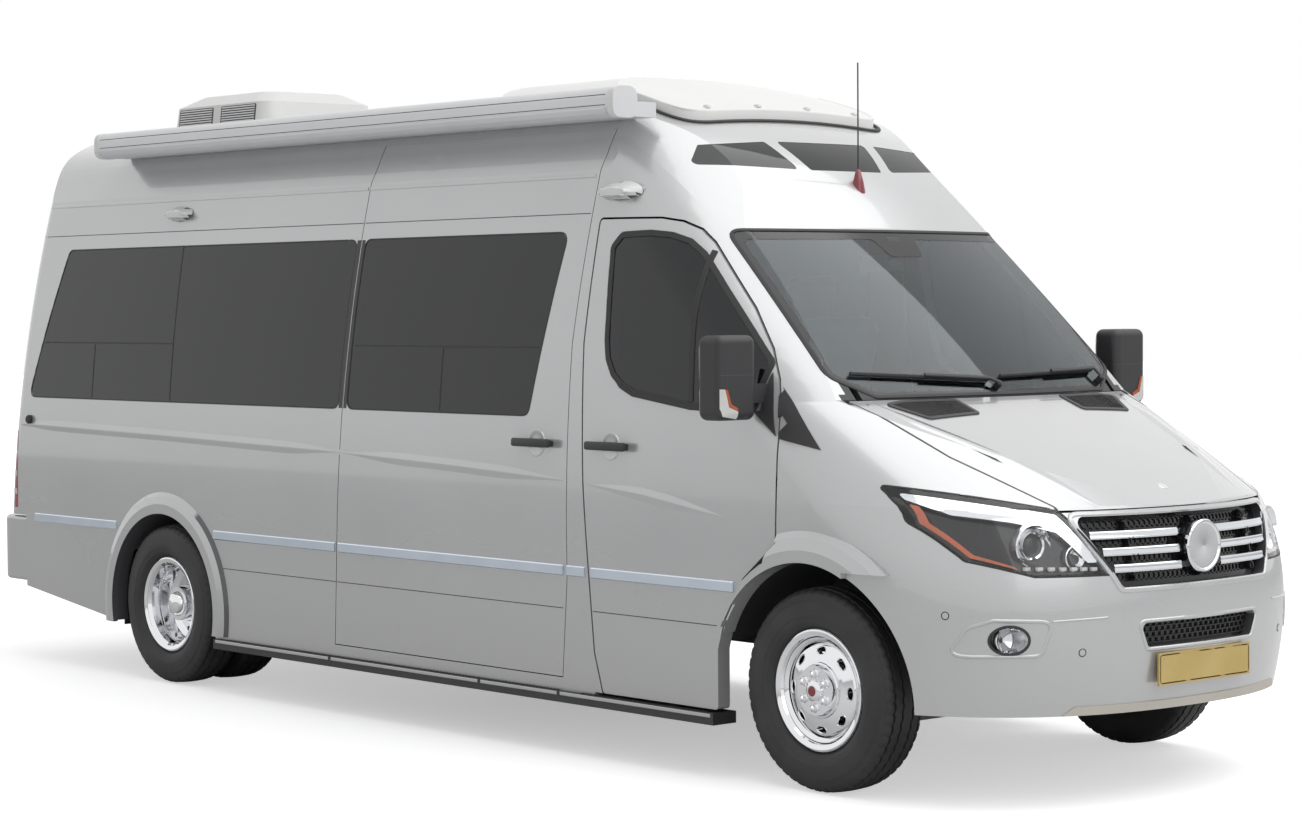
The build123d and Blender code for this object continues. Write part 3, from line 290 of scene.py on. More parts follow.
finish("hub_red", (0.20, 0.015, 0.02), (0.27, 0.02, 0.03), 0.25, bump=0.03, extra={"Coat Weight": 0.6})
print("finishes", len(finishes))

# %% [markdown]
# ## The solids take their finishes
# The record names a finish for each solid. A finish of the same name is put into every slot of
# the solid's mesh. The shapes are left as they are.
# %% Dress the frame
for entry in frame["record"]["subparts"]:
    solid = nodes[entry["node"]]
    solid.data.materials.clear()
    solid.data.materials.append(finishes[entry["material_slot"]])

# %% [markdown]
# ## Drawing on the body
# Seals, seams and trim follow a body that curves every way. Their paths are drawn flat, as seen
# from the side, the front or above, and each point is then dropped onto the solid by a ray, which
# also tells which way the skin faces there.
# %% Flat outlines
def at(ahead):
    """X of a distance ahead of the front axle, given in millimetres."""
    return FRONT_AXLE + ahead / 1000


def rounded(points, radius, steps=5):
    """A closed outline with its corners turned into arcs."""
    result = []
    count = len(points)
    for i in range(count):
        corner = Vector(points[i])
        back = Vector(points[i - 1]) - corner
        on = Vector(points[(i + 1) % count]) - corner
        half = back.angle(on) / 2
        reach = min(radius / math.tan(half), 0.48 * back.length, 0.48 * on.length)
        start = corner + back.normalized() * reach
        end = corner + on.normalized() * reach
        for step in range(steps + 1):
            share = step / steps
            result.append(tuple(start.lerp(corner, share).lerp(corner.lerp(end, share), share)))
    return result


def dense(points, step, closed=True):
    """The same path with points added so that none lie further apart than a step."""
    result = []
    pairs = list(zip(points, points[1:] + points[:1])) if closed else list(zip(points, points[1:]))
    for start, end in pairs:
        start, end = Vector(start), Vector(end)
        parts = max(1, math.ceil((end - start).length / step))
        result += [tuple(start.lerp(end, part / parts)) for part in range(parts)]
    return result if closed else result + [tuple(points[-1])]


def inside(point, outline):
    """Whether a flat point lies within an outline."""
    x, y = point
    hit = False
    for (ax, ay), (bx, by) in zip(outline, outline[1:] + outline[:1]):
        if (ay > y) != (by > y) and x < (bx - ax) * (y - ay) / (by - ay) + ax:
            hit = not hit
    return hit


# %% Rays onto the solids
NUDGE = 0.0015
SAME_SKIN = 0.004
trees = {}


def tree_of(names):
    """A search tree over the faces of some solids."""
    if names not in trees:
        verts, faces = [], []
        for name in names:
            base = len(verts)
            verts += [v.co.copy() for v in nodes[name].data.vertices]
            faces += [[base + i for i in p.vertices] for p in nodes[name].data.polygons]
        trees[names] = BVHTree.FromPolygons(verts, faces)
    return trees[names]


def drop(names, origin, direction):
    """Where a ray meets the solids and the way the skin faces there. Rays beside it step over narrow gaps."""
    origin, direction = Vector(origin), Vector(direction)
    beside = [axis * NUDGE * sign for axis in (Vector((1, 0, 0)), Vector((0, 1, 0)), Vector((0, 0, 1)))
              if abs(axis.dot(direction)) < 0.5 for sign in (1, -1)]
    hits = []
    for offset in [Vector()] + beside:
        place, normal, _, distance = tree_of(names).ray_cast(origin + offset, direction)
        if place is not None:
            hits.append((distance, place - offset, -normal if normal.dot(direction) > 0 else normal))
    if not hits:
        return None
    nearest = min(hit[0] for hit in hits)
    _, place, normal = next(hit for hit in hits if hit[0] < nearest + SAME_SKIN)
    return place, normal.normalized()


def from_side(names, side):
    """Places given as X and Z, seen from one side of the van."""
    return lambda p: drop(names, (p[0], side * 3, p[1]), (0, -side, 0))


def from_front(names):
    """Places given as Y and Z, seen from ahead."""
    return lambda p: drop(names, (6, p[0], p[1]), (-1, 0, 0))


def from_behind(names):
    """Places given as Y and Z, seen from behind."""
    return lambda p: drop(names, (-6, p[0], p[1]), (1, 0, 0))


def from_above(names):
    """Places given as X and Y, seen from above."""
    return lambda p: drop(names, (p[0], p[1], 5), (0, 0, -1))


# %% [markdown]
# ## Two ways to make a fitting piece
# A band is a small cross-section carried along a path on the skin: a seal, a seam, a chrome
# strip. A panel fills an outline with triangles, lays them on the skin and gives them a
# thickness: a vent, a lens, a blacked-out border. Both come out as closed shells.
# %% Pieces that ride on a body
slots = [entry["slot"] for entry in frame["record"]["materials"]]


def piece(name, verts, faces, material, body, crease=35, slot=None):
    """Make a mesh piece that rides on a body. It is held inside the solids' own outermost box."""
    low, high = size_before
    held = [[min(max(value, a), b) for value, a, b in zip(v, low, high)] for v in verts]
    mesh = bpy.data.meshes.new(name)
    mesh.from_pydata(held, [], faces)
    shell = bmesh.new()
    shell.from_mesh(mesh)
    bmesh.ops.remove_doubles(shell, verts=shell.verts, dist=1e-6)
    bmesh.ops.recalc_face_normals(shell, faces=shell.faces)
    shell.to_mesh(mesh)
    shell.free()
    return shown(name, mesh, material, body, crease, slot)


def shown(name, mesh, material, body, crease=35, slot=None):
    """Give a mesh its finish, smooth it up to an angle and put it on a body."""
    mesh.materials.clear()
    mesh.materials.append(finishes[material])
    mesh.shade_smooth()
    mesh.set_sharp_from_angle(angle=math.radians(crease))
    made = bpy.data.objects.new(name, mesh)
    bpy.context.scene.collection.objects.link(made)
    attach(made, body)
    if slot or material in slots:
        slot or material
    return made


# %% Bands
def sweep(path, section, closed=False, taper=0.0):
    """Carry a section of (across, out) points along places with normals. It can fade out at both ends."""
    count, ring = len(path), len(section)
    verts = []
    start, end = path[0][0], path[-1][0]
    for i, (place, normal) in enumerate(path):
        share = min(1.0, (place - start).length / taper, (place - end).length / taper) if taper else 1.0
        share = share * share * (3 - 2 * share)
        back = path[i - 1][0] if i or closed else place
        on = path[(i + 1) % count][0] if i < count - 1 or closed else place
        along = (on - back).normalized()
        across = along.cross(normal).normalized()
        out = across.cross(along)
        verts += [place + across * a * (0.4 + 0.6 * share) + out * (o * share if o > 0 else o) for a, o in section]
    faces = []
    for i in range(count if closed else count - 1):
        a, b = i * ring, (i + 1) % count * ring
        faces += [(a + j, a + (j + 1) % ring, b + (j + 1) % ring, b + j) for j in range(ring)]
    if not closed:
        faces += [tuple(range(ring)), tuple(range((count - 1) * ring, count * ring))]
    return verts, faces


def joined(parts):
    """Several (verts, faces) as one."""
    verts, faces = [], []
    for part_verts, part_faces in parts:
        base = len(verts)
        verts += part_verts
        faces += [tuple(base + i for i in face) for face in part_faces]
    return verts, faces


def flat_strip(width, low, high):
    """The section of a plain strip."""
    return [(-width / 2, low), (width / 2, low), (width / 2, high), (-width / 2, high)]


def rounded_strip(width, low, high, bevel):
    """The section of a strip with softened edges."""
    half = width / 2
    return [(-half, low), (half, low), (half, high - bevel), (half - bevel, high), (-half + bevel, high),
            (-half, high - bevel)]


def laid(points, place, lift=0.0):
    """Drop flat points onto the skin. Points that miss it are left out."""
    hits = [place(p) for p in points]
    return [(spot + normal * lift, normal) for spot, normal in filter(None, hits)]


def strand(path, place, section, closed=False, step=0.03, lift=0.0, taper=0.0):
    """One strip along a path on the skin."""
    return sweep(laid(dense(path, step, closed), place, lift), section, closed, taper)


def band(name, paths, place, section, material, body, closed=False, step=0.03, crease=35, taper=0.0):
    """Strips along paths on the skin, as one piece."""
    parts = [strand(path, place, section, closed, step, taper=taper) for path in paths]
    return piece(name, *joined(parts), material, body, crease)


# %% Panels
def filled(outline, holes=(), step=0.03):
    """Fill a flat outline, less its holes, with triangles. Returns points and faces."""
    loops = [dense(loop, step) for loop in (outline, *holes)]
    points, edges = [], []
    for loop in loops:
        base = len(points)
        points += loop
        edges += [(base + i, base + (i + 1) % len(loop)) for i in range(len(loop))]
    low = [min(p[axis] for p in outline) for axis in (0, 1)]
    high = [max(p[axis] for p in outline) for axis in (0, 1)]
    rim = [Vector(p) for p in points]
    for i in range(1, int((high[0] - low[0]) / step) + 1):
        for j in range(1, int((high[1] - low[1]) / step) + 1):
            spot = (low[0] + i * step, low[1] + j * step)
            if inside(spot, loops[0]) and not any(inside(spot, hole) for hole in loops[1:]):
                if min((Vector(spot) - edge).length_squared for edge in rim) > (0.45 * step) ** 2:
                    points.append(spot)
    flat, _, faces, *_ = delaunay_2d_cdt([Vector(p) for p in points], edges, [], 0, 1e-7)
    kept = []
    for face in faces:
        middle = sum((flat[i] for i in face), Vector((0, 0))) / len(face)
        if inside(middle, loops[0]) and not any(inside(middle, hole) for hole in loops[1:]):
            kept.append(tuple(face))
    return [tuple(p) for p in flat], kept


def shell_of(points, faces, place, low, high):
    """Lay filled triangles on the skin as a closed sheet between two heights above it."""
    hits = [place(p) for p in points]
    kept = [face for face in faces if all(hits[i] for i in face)]
    used = sorted({i for face in kept for i in face})
    index = {old: new for new, old in enumerate(used)}
    count = len(used)
    verts = [hits[i][0] + hits[i][1] * high for i in used] + [hits[i][0] + hits[i][1] * low for i in used]
    result, rim = [], {}
    for face in kept:
        ids = [index[i] for i in face]
        result += [tuple(ids), tuple(i + count for i in reversed(ids))]
        for a, b in zip(ids, ids[1:] + ids[:1]):
            if (b, a) in rim:
                rim.pop((b, a))
            else:
                rim[(a, b)] = True
    result += [(b, a, a + count, b + count) for a, b in rim]
    return verts, result


def panel(name, outlines, place, low, high, material, body, step=0.03, holes=(), crease=35):
    """Closed sheets that follow the skin, one for each outline, as one piece."""
    parts = []
    for outline in outlines:
        points, faces = filled(outline, holes, step)
        parts.append(shell_of(points, faces, place, low, high))
    return piece(name, *joined(parts), material, body, crease)


# %% Turned shapes and boxes
TIP = 1e-5


def spun(profile, centre, axis, steps=48):
    """Turn a closed profile of (along, radius) points about an axis. A radius of TIP closes it there."""
    axis = Vector(axis).normalized()
    first = axis.orthogonal().normalized()
    second = axis.cross(first)
    ring = len(profile)
    verts, faces = [], []
    for i in range(steps):
        turn = 2 * math.pi * i / steps
        out = first * math.cos(turn) + second * math.sin(turn)
        verts += [Vector(centre) + axis * along + out * radius for along, radius in profile]
        a, b = i * ring, (i + 1) % steps * ring
        faces += [(a + j, a + (j + 1) % ring, b + (j + 1) % ring, b + j) for j in range(ring)]
    return verts, faces


def lathe(name, parts, material, body, crease=35):
    """Several turned shapes as one piece."""
    return piece(name, *joined(parts), material, body, crease)


def disc_profile(radius, low, high, bevel):
    """A plain round button standing along its axis."""
    return [(low, TIP), (low, radius), (high - bevel, radius), (high, radius - bevel), (high, TIP)]


def ring_profile(inner, outer, low, high):
    """A ring with a softened outer face."""
    soft = min(outer - inner, high - low) * 0.3
    return [(low, inner), (low, outer), (high - soft, outer), (high, outer - soft), (high, inner + soft),
            (high - soft, inner)]


def soft_box(centre, half, bevel, turn=None, segments=3):
    """A box with rounded edges."""
    cube = bmesh.new()
    bmesh.ops.create_cube(cube, size=2)
    for vert in cube.verts:
        vert.co = [c * h for c, h in zip(vert.co, half)]
    bmesh.ops.bevel(cube, geom=cube.edges[:], offset=bevel, segments=segments, profile=0.5, affect="EDGES")
    cube.verts.index_update()
    verts = [(turn @ vert.co if turn else vert.co.copy()) + Vector(centre) for vert in cube.verts]
    faces = [tuple(vert.index for vert in face.verts) for face in cube.faces]
    cube.free()
    return verts, faces


# %% Flat points
def arc(middle, wide, tall, first, last, steps):
    """Points on an oval from one angle to another, in degrees."""
    turns = [math.radians(first + (last - first) * i / steps) for i in range(steps + 1)]
    return [(middle[0] + wide * math.cos(turn), middle[1] + tall * math.sin(turn)) for turn in turns]


def rectangle(low_a, low_b, high_a, high_b):
    """The four corners of an upright rectangle."""
    return [(low_a, low_b), (high_a, low_b), (high_a, high_b), (low_a, high_b)]


def mirrored(points):
    """The same flat outline on the other side, for outlines whose first number is Y."""
    return [(-y, z) for y, z in reversed(points)]


def millimetres(points):
    """Flat points from millimetres."""
    return [(a / 1000, b / 1000) for a, b in points]


def alongside(points):
    """Side-view points from (distance ahead, height) in millimetres to X and Z."""
    return [(at(a), b / 1000) for a, b in points]


print("helpers ready")

# %% [markdown]
# ## Outlines of doors and windows
# These are the edges that the panels were cut to. Seals and borders follow them, so they are
# named once here, in millimetres ahead of the front axle and above the ground.
# %% Outlines
SKIN = ("body_side_right", "body_side_left", "roof", "sliding_door", "fenders", "front_bumper", "cabin_windows",
        "front_door_right", "front_door_left", "cowl", "windscreen")
SHELL_ONLY = ("body_side_right", "body_side_left", "roof", "sliding_door", "fenders", "front_door_right",
              "front_door_left", "front_bumper")
sliding_pane = rounded(alongside([(-1450, 2070), (-2832, 2070), (-2864, 1335), (-1610, 1335)]), 0.045)
rear_pane = rounded(alongside([(-2892, 2070), (-5350, 2070), (-5620, 1335), (-2925, 1335)]), 0.045)
left_pane = rounded(alongside([(-1450, 2070), (-5350, 2070), (-5620, 1335), (-1610, 1335)]), 0.045)
door_pane = rounded(alongside([
    (-275, 1560), (-432, 1713), (-700, 1970), (-775, 2020), (-860, 2046), (-960, 2056), (-1120, 2052), (-1168, 2005),
    (-1150, 1640), (-1136, 1570), (-1100, 1510), (-1045, 1468), (-970, 1440), (-639, 1396), (-290, 1386)]), 0.030)
screen = rounded(millimetres([(-640, 1432), (-794, 1510), (-743, 2062), (743, 2062), (794, 1510), (640, 1432)]), 0.045)
DOORS = {RIGHT: "front_door_right", LEFT: "front_door_left"}
PANES = {RIGHT: "front_window_right", LEFT: "front_window_left"}
MIRRORS = {RIGHT: "mirror_right", LEFT: "mirror_left"}
WORD = {RIGHT: "right", LEFT: "left"}
right_skin, left_skin = from_side(SKIN, RIGHT), from_side(SKIN, LEFT)

# %% [markdown]
# ## Window seals
# The big panes are bonded flush: only a dark line shows round each. Where two panes meet over a
# door gap, the metal between them is blacked out, so that the row looks like one long window.
# Each opening pane is framed by a line cut into the glass. Cab doors have thick moulded rubber.
# %% Window seals
band("window_seals_right", [sliding_pane, rear_pane], right_skin, flat_strip(0.006, -0.003, 0.0012), "seal_rubber",
     "van_body", closed=True)
band("window_seal_left", [left_pane], left_skin, flat_strip(0.006, -0.003, 0.0012), "seal_rubber", "van_body",
     closed=True)
between_panes = [alongside([(-2833, 2068), (-2855, 2068), (-2888, 1337), (-2866, 1337)]),
                 alongside([(-2866, 2068), (-2891, 2068), (-2923, 1337), (-2899, 1337)])]
panel("pane_joint_black", between_panes, right_skin, -0.002, 0.0010, "gloss_black", "van_body")
line_section = flat_strip(0.007, -0.002, 0.0010)
shared_lines = [[(-4300, 2068), (-4300, 1337)], [(-5520, 1610), (-4306, 1610)], [(-5010, 1605), (-5010, 1340)],
                [(-2200, 1605), (-2200, 1340)]]
own_lines = {RIGHT: [[(-2830, 1610), (-1570, 1610)]],
             LEFT: [[(-2890, 2068), (-2890, 1337)], [(-2884, 1610), (-1570, 1610)]]}
for side, skin in ((RIGHT, right_skin), (LEFT, left_skin)):
    lines = [alongside(line) for line in shared_lines + own_lines[side]]
    band(f"opening_panes_{WORD[side]}", lines, skin, line_section, "seal_rubber", "van_body")

# %% Cab door rubber
waist_line = alongside([(-1120, 1532), (-1050, 1462), (-975, 1431), (-640, 1387), (-300, 1378)])
for side in (RIGHT, LEFT):
    word, door = WORD[side], DOORS[side]
    skin = from_side((door, PANES[side]), side)
    band(f"door_window_rubber_{word}", [door_pane], skin, rounded_strip(0.026, -0.004, 0.004, 0.002), "seal_rubber",
         door, closed=True, step=0.02)
    band(f"quarter_light_post_{word}", [alongside([(-672, 2010), (-640, 1410)])], skin,
         rounded_strip(0.026, -0.002, 0.005, 0.003), "seal_rubber", door)
    band(f"waist_rubber_{word}", [waist_line], skin, rounded_strip(0.014, -0.002, 0.006, 0.002), "seal_rubber", door)
print("seals done")

# %% [markdown]
# ## Windscreen border, wipers and sensor pod
# A windscreen carries a black printed border that hides its glue. It is a thin panel with a hole,
# laid on the glass. Two wipers lie parked along the foot of the screen, each a blade on an arm.
# %% Windscreen
around_glass = from_front(("windscreen", "roof", "cowl", "fenders"))
clear_view = rounded(millimetres([(-626, 1448), (-764, 1520), (-722, 2026), (-120, 2030), (-90, 1960), (90, 1960),
                                  (120, 2030), (722, 2026), (764, 1520), (626, 1448)]), 0.030)
glass_only = from_front(("windscreen",))
border = [((y * 0.992), 1.75 + (z - 1.75) * 0.992) for y, z in screen]
panel("windscreen_border", [border], glass_only, 0.0, 0.0006, "gloss_black", "van_body", holes=(clear_view,))
band("windscreen_rubber", [screen], around_glass, rounded_strip(0.016, -0.003, 0.004, 0.002), "seal_rubber",
     "van_body", closed=True)


# %% Wipers and sensor pod
on_screen = from_front(("windscreen", "cowl"))
blade_section = [(-0.004, -0.009), (0.004, -0.009), (0.006, 0.004), (0.0, 0.008), (-0.006, 0.004)]
wipers = (((-0.70, 1.512), (-0.06, 1.476), (-0.02, 1.458)), ((0.02, 1.490), (0.64, 1.500), (0.66, 1.464)))
blades, arms = [], []
for tip, heel, pivot in wipers:
    blades.append(strand([tip, heel], on_screen, blade_section, lift=0.012))
    middle = tuple((a + b) / 2 for a, b in zip(tip, heel))
    arms.append(strand([pivot, heel, middle], on_screen, rounded_strip(0.016, -0.004, 0.004, 0.003), lift=0.026))
    arms.append(spun(disc_profile(0.014, -0.01, 0.030, 0.006), *on_screen(pivot), 20))
piece("wiper_blades", *joined(blades), "flap_rubber", "van_body")
piece("wiper_arms", *joined(arms), "black_plastic", "van_body")
spot, normal = glass_only((0, 1.985))
tilt = Matrix.Rotation(math.radians(-27), 3, "Y")
pod = [soft_box(spot + Vector((-0.055, 0, 0.005)), (0.028, 0.050, 0.050), 0.018, tilt),
       soft_box(spot + Vector((-0.115, 0, -0.055)), (0.014, 0.120, 0.036), 0.012)]
piece("sensor_pod", *joined(pod), "black_plastic", "van_body")
print("wipers", len(wipers))

# %% [markdown]
# ## Seams and creases
# Pressed panels show fine dark joints and long soft creases. A joint is a very thin dark strip.
# A crease is a low, wide ridge in body colour, whose two faces catch the light differently.
# %% Seams and creases
seam = flat_strip(0.0035, -0.002, 0.0004)
ridge = [(-0.030, -0.0005), (0.030, -0.0005), (0.012, 0.0022), (0.0, 0.0042), (-0.004, 0.0036)]
fine_ridge = [(-0.010, -0.0005), (0.010, -0.0005), (0.003, 0.0022), (-0.003, 0.0022)]
body_only = {side: from_side(SHELL_ONLY, side) for side in (RIGHT, LEFT)}
SEAM_HIGH, CREASE_HIGH, SEAM_LOW = 2142, 2292, 578
upper_runs = {RIGHT: [(-5790, -2866), (-2850, -1330)], LEFT: [(-5790, -1318)]}
lower_runs = {RIGHT: [(-3830, -2930), (-2918, -1372)], LEFT: [(-3830, -1210)]}
waist_runs = {RIGHT: [[(-5740, 1200), (-4300, 1176), (-2892, 1146)], [(-2880, 1145), (-2100, 1118), (-1368, 1086)]],
              LEFT: [[(-5740, 1200), (-4300, 1176), (-2892, 1146), (-1300, 1083)]]}


def level_runs(runs, height):
    """Level side-view paths at one height."""
    return [alongside([(start, height), (end, height)]) for start, end in runs]


for side in (RIGHT, LEFT):
    word, place, door = WORD[side], body_only[side], DOORS[side]
    band(f"upper_seams_{word}", level_runs(upper_runs[side], SEAM_HIGH), place, seam, "seam_shadow", "van_body")
    band(f"upper_creases_{word}", level_runs(upper_runs[side], CREASE_HIGH), place, fine_ridge, "paint", "van_body",
         step=0.1)
    band(f"lower_seams_{word}", level_runs(lower_runs[side], SEAM_LOW), place, seam, "seam_shadow", "van_body")
    band(f"waist_creases_{word}", [alongside(run) for run in waist_runs[side]], place, ridge, "paint", "van_body",
         step=0.06, taper=0.45)
    band(f"door_crease_{word}", [alongside([(-1230, 1078), (-900, 1050), (-430, 985)])], place, ridge, "paint", door,
         step=0.05, taper=0.35)
    band(f"door_lower_seam_{word}", level_runs([(-1190, -475)], SEAM_LOW), place, seam, "seam_shadow", door)
print("seams done")

# %% [markdown]
# ## Bright waist strip
# A polished strip runs along the sides at knee height, broken at each gap and wheel arch. It is a
# band with softened edges, one for the body and one for each cab door.
# %% Bright strip
trim = rounded_strip(0.042, -0.001, 0.007, 0.004)
TRIM_HEIGHT = 729
trim_runs = {RIGHT: [(-5735, -4752), (-3898, -2928), (-2906, -1368), (-1346, -1236)],
             LEFT: [(-5735, -4752), (-3898, -1236)]}
for side in (RIGHT, LEFT):
    word, place = WORD[side], body_only[side]
    band(f"bright_strips_{word}", level_runs(trim_runs[side], TRIM_HEIGHT), place, trim, "strip_chrome", "van_body",
         step=0.1)
    band(f"door_bright_strip_{word}", level_runs([(-1198, -380)], TRIM_HEIGHT), place, trim, "strip_chrome",
         DOORS[side], step=0.1)
print("trim done")

# %% [markdown]
# ## Handles
# Each side door has a black pull over a round hollow. The pull is a rounded bar on two feet, the
# hollow a shallow dish with a raised lip.
# %% Handles
HANDLE_HEIGHT = 1.228
DISH = [(-0.001, TIP), (-0.001, 0.056), (0.0022, 0.054), (0.0030, 0.050), (0.0012, 0.044), (0.0006, 0.030),
        (0.0003, TIP)]


def handle(name, ahead, side, body):
    """A pull bar, its feet and the dish behind it."""
    spot, normal = body_only[side]((at(ahead), HANDLE_HEIGHT))
    turn = normal.to_track_quat("Y", "Z").to_matrix()
    bar = [soft_box(spot + normal * 0.032, (0.118, 0.010, 0.017), 0.009, turn)]
    for foot in (-0.085, 0.085):
        bar.append(soft_box(spot + turn @ Vector((foot, 0, 0)) + normal * 0.015, (0.020, 0.018, 0.013), 0.006, turn))
    piece(name, *joined(bar), "black_plastic", body)
    piece(f"{name}_dish", *spun(DISH, spot, normal, 40), "paint", body)


handle("sliding_door_handle", -1548, RIGHT, "van_body")
for side in (RIGHT, LEFT):
    handle(f"front_door_handle_{WORD[side]}", -1092, side, DOORS[side])
spot, normal = body_only[RIGHT]((at(-5600), 1.22))
lathe("door_stop", [spun(disc_profile(0.022, -0.001, 0.020, 0.006), spot, normal, 28)], "flap_rubber", "van_body")
print("handles done")

# %% [markdown]
# ## Mirrors
# The mirror arms grow out of a black triangle at the foot of the window. The triangle lies over
# the gap between door and wing, so it is two panels. A turn signal sits low on the outer corner
# of each mirror, and two pieces of mirror glass face backwards.
# %% Mirrors
for side in (RIGHT, LEFT):
    word, door = WORD[side], DOORS[side]
    panel(f"mirror_base_{word}", [alongside([(-286, 1552), (-268, 1548), (-238, 1480), (-174, 1296), (-292, 1380)])],
          body_only[side], -0.001, 0.005, "black_plastic", door)
    panel(f"mirror_base_tip_{word}", [alongside([(-222, 1492), (34, 1250), (-150, 1284)])], body_only[side], -0.001,
          0.005, "black_plastic", "van_body")
    back, front = from_behind((MIRRORS[side],)), from_front((MIRRORS[side],))
    middle, outer, inner = side * 1.115, side * 1.205, side * 1.120
    main = rounded(rectangle(middle - 0.078, 1.492, middle + 0.078, 1.640), 0.02)
    wide = rounded(rectangle(middle - 0.078, 1.378, middle + 0.078, 1.480), 0.02)
    panel(f"mirror_glass_{word}", [main, wide], back, -0.001, 0.003, "chrome_rim", door)
    signal = [(inner, 1.362), (outer - side * 0.014, 1.372), (outer - side * 0.004, 1.40), (outer - side * 0.004, 1.47),
              (outer - side * 0.022, 1.47), (outer - side * 0.040, 1.405), (inner, 1.388)]
    panel(f"mirror_signal_{word}", [signal], front, -0.001, 0.003, "pale_lens", door, step=0.012)
    shade = [(inner, 1.389), (outer - side * 0.041, 1.407), (outer - side * 0.024, 1.468),
             (outer - side * 0.034, 1.468), (outer - side * 0.052, 1.416), (inner, 1.400)]
    panel(f"mirror_signal_amber_{word}", [shade], front, -0.001, 0.003, "amber_lens", door, step=0.012)
    band(f"mirror_seam_{word}", [[(middle - 0.092, 1.52), (middle + 0.092, 1.52)]], front,
         flat_strip(0.003, -0.001, 0.0008), "seam_shadow", door, step=0.01)
print("mirrors done")

# %% [markdown]
# ## Headlamps
# A modern lamp is a clear cover over a dark box. In it sit a bright bowl, a round projector, a
# bright upper blade, an amber strip along the outer edge and a row of small lamps at the foot.
# The clear cover is the solid itself, so each inner part is laid at its own depth below the
# cover's skin.
# %% Headlamps
headlamp = millimetres([(-572, 1052), (-428, 826), (-700, 826), (-858, 880), (-930, 1010), (-925, 1135), (-790, 1105)])
lamp_edge = rounded(headlamp, 0.012)
bowl = rounded(millimetres([(-566, 1036), (-452, 838), (-700, 838), (-846, 890), (-912, 1010), (-908, 1116),
                            (-790, 1088)]), 0.012)
blade = rounded(millimetres([(-580, 1040), (-478, 872), (-520, 872), (-600, 980), (-720, 1016), (-850, 1040),
                             (-906, 1090), (-906, 1114), (-792, 1088)]), 0.010)
amber = rounded(millimetres([(-908, 1076), (-912, 1008), (-846, 892), (-740, 852), (-748, 862), (-836, 902),
                             (-896, 1010), (-895, 1068)]), 0.004)
lamp_front = from_front(("headlamps",))
for name, outline, low, high, material in (
        ("lamp_box", bowl, -0.052, -0.046, "gloss_black"), ("lamp_blade", blade, -0.030, -0.012, "chrome_rim"),
        ("lamp_amber", amber, -0.020, -0.008, "amber_lens")):
    panel(name, (outline, mirrored(outline)), lamp_front, low, high, material, "van_body", step=0.02)
band("lamp_rubber", [lamp_edge, mirrored(lamp_edge)], lamp_front, flat_strip(0.007, -0.003, 0.0006), "seal_rubber",
     "van_body", closed=True, step=0.015)

# %% Bowls, projectors and small lamps
bowls, projectors, eyes, cells = [], [], [], []
for side in (RIGHT, LEFT):
    spot, normal = lamp_front((side * 0.690, 0.945))
    facing = Vector((1, side * 0.18, 0)).normalized()
    core = spot - normal * 0.045
    ring = [(0.000, 0.030), (0.000, 0.074), (0.030, 0.076), (0.034, 0.072), (0.010, 0.058), (0.006, 0.050)]
    bowls.append(spun(ring, core, facing, 48))
    bowls.append(spun([(0.0, 0.038), (0.026, 0.042), (0.032, 0.048), (0.026, 0.052), (0.0, 0.052)], core, facing, 40))
    projectors.append(spun([(0.0, TIP), (0.0, 0.038), (0.010, 0.037), (0.020, 0.030), (0.026, 0.018), (0.028, TIP)],
                           core, facing, 40))
    spot, normal = lamp_front((side * 0.560, 0.900))
    eyes.append(spun([(0.0, 0.012), (0.0, 0.040), (0.024, 0.044), (0.026, 0.040), (0.006, 0.026)],
                     spot - normal * 0.046, facing, 36))
    for i in range(7):
        spot, normal = lamp_front((side * (0.500 + 0.036 * i), 0.850 + 0.001 * i))
        cells.append(soft_box(spot - normal * 0.018, (0.008, 0.013, 0.007), 0.003))
piece("lamp_bowls", *joined(bowls + eyes), "chrome_rim", "van_body")
piece("lamp_projectors", *joined(projectors), "gloss_black", "van_body")
piece("lamp_cells", *joined(cells), "pale_lens", "van_body")
print("lamp cells", len(cells))

# %% [markdown]
# ## Honeycomb grown by Geometry Nodes
# The bonnet vents and the grille are backed by a honeycomb. One tree makes it: a grid of points,
# every second row moved by half a cell, and on each point a six-sided ring. The flat sheet is
# made plain, cells outside the outline are dropped, and the rest is laid on the skin.
# %% Parts that every tree shares
def wire(tree, kind, settings=None, sockets=None):
    """Add a node to a geometry tree. Sockets take numbers or another node's output."""
    made = tree.nodes.new(kind)
    for name, setting in (settings or {}).items():
        setattr(made, name, setting)
    for name, value in (sockets or {}).items():
        if isinstance(value, bpy.types.NodeSocket):
            tree.links.new(value, made.inputs[name])
        else:
            made.inputs[name].default_value = value
    return made


def new_tree(name, inputs):
    """An empty geometry tree. Returns it with the sockets of its named inputs."""
    tree = bpy.data.node_groups.new(name, "GeometryNodeTree")
    for label, kind in (inputs | {"Finish": "Material"}).items():
        tree.interface.new_socket(label, in_out="INPUT", socket_type=f"NodeSocket{kind}")
    tree.interface.new_socket("Geometry", in_out="OUTPUT", socket_type="NodeSocketGeometry")
    return tree, tree.nodes.new("NodeGroupInput").outputs


def sums_in(tree):
    """Arithmetic between two sockets or numbers of a tree."""
    return lambda operation, a, b: wire(tree, "ShaderNodeMath", {"operation": operation}, {0: a, 1: b}).outputs[0]


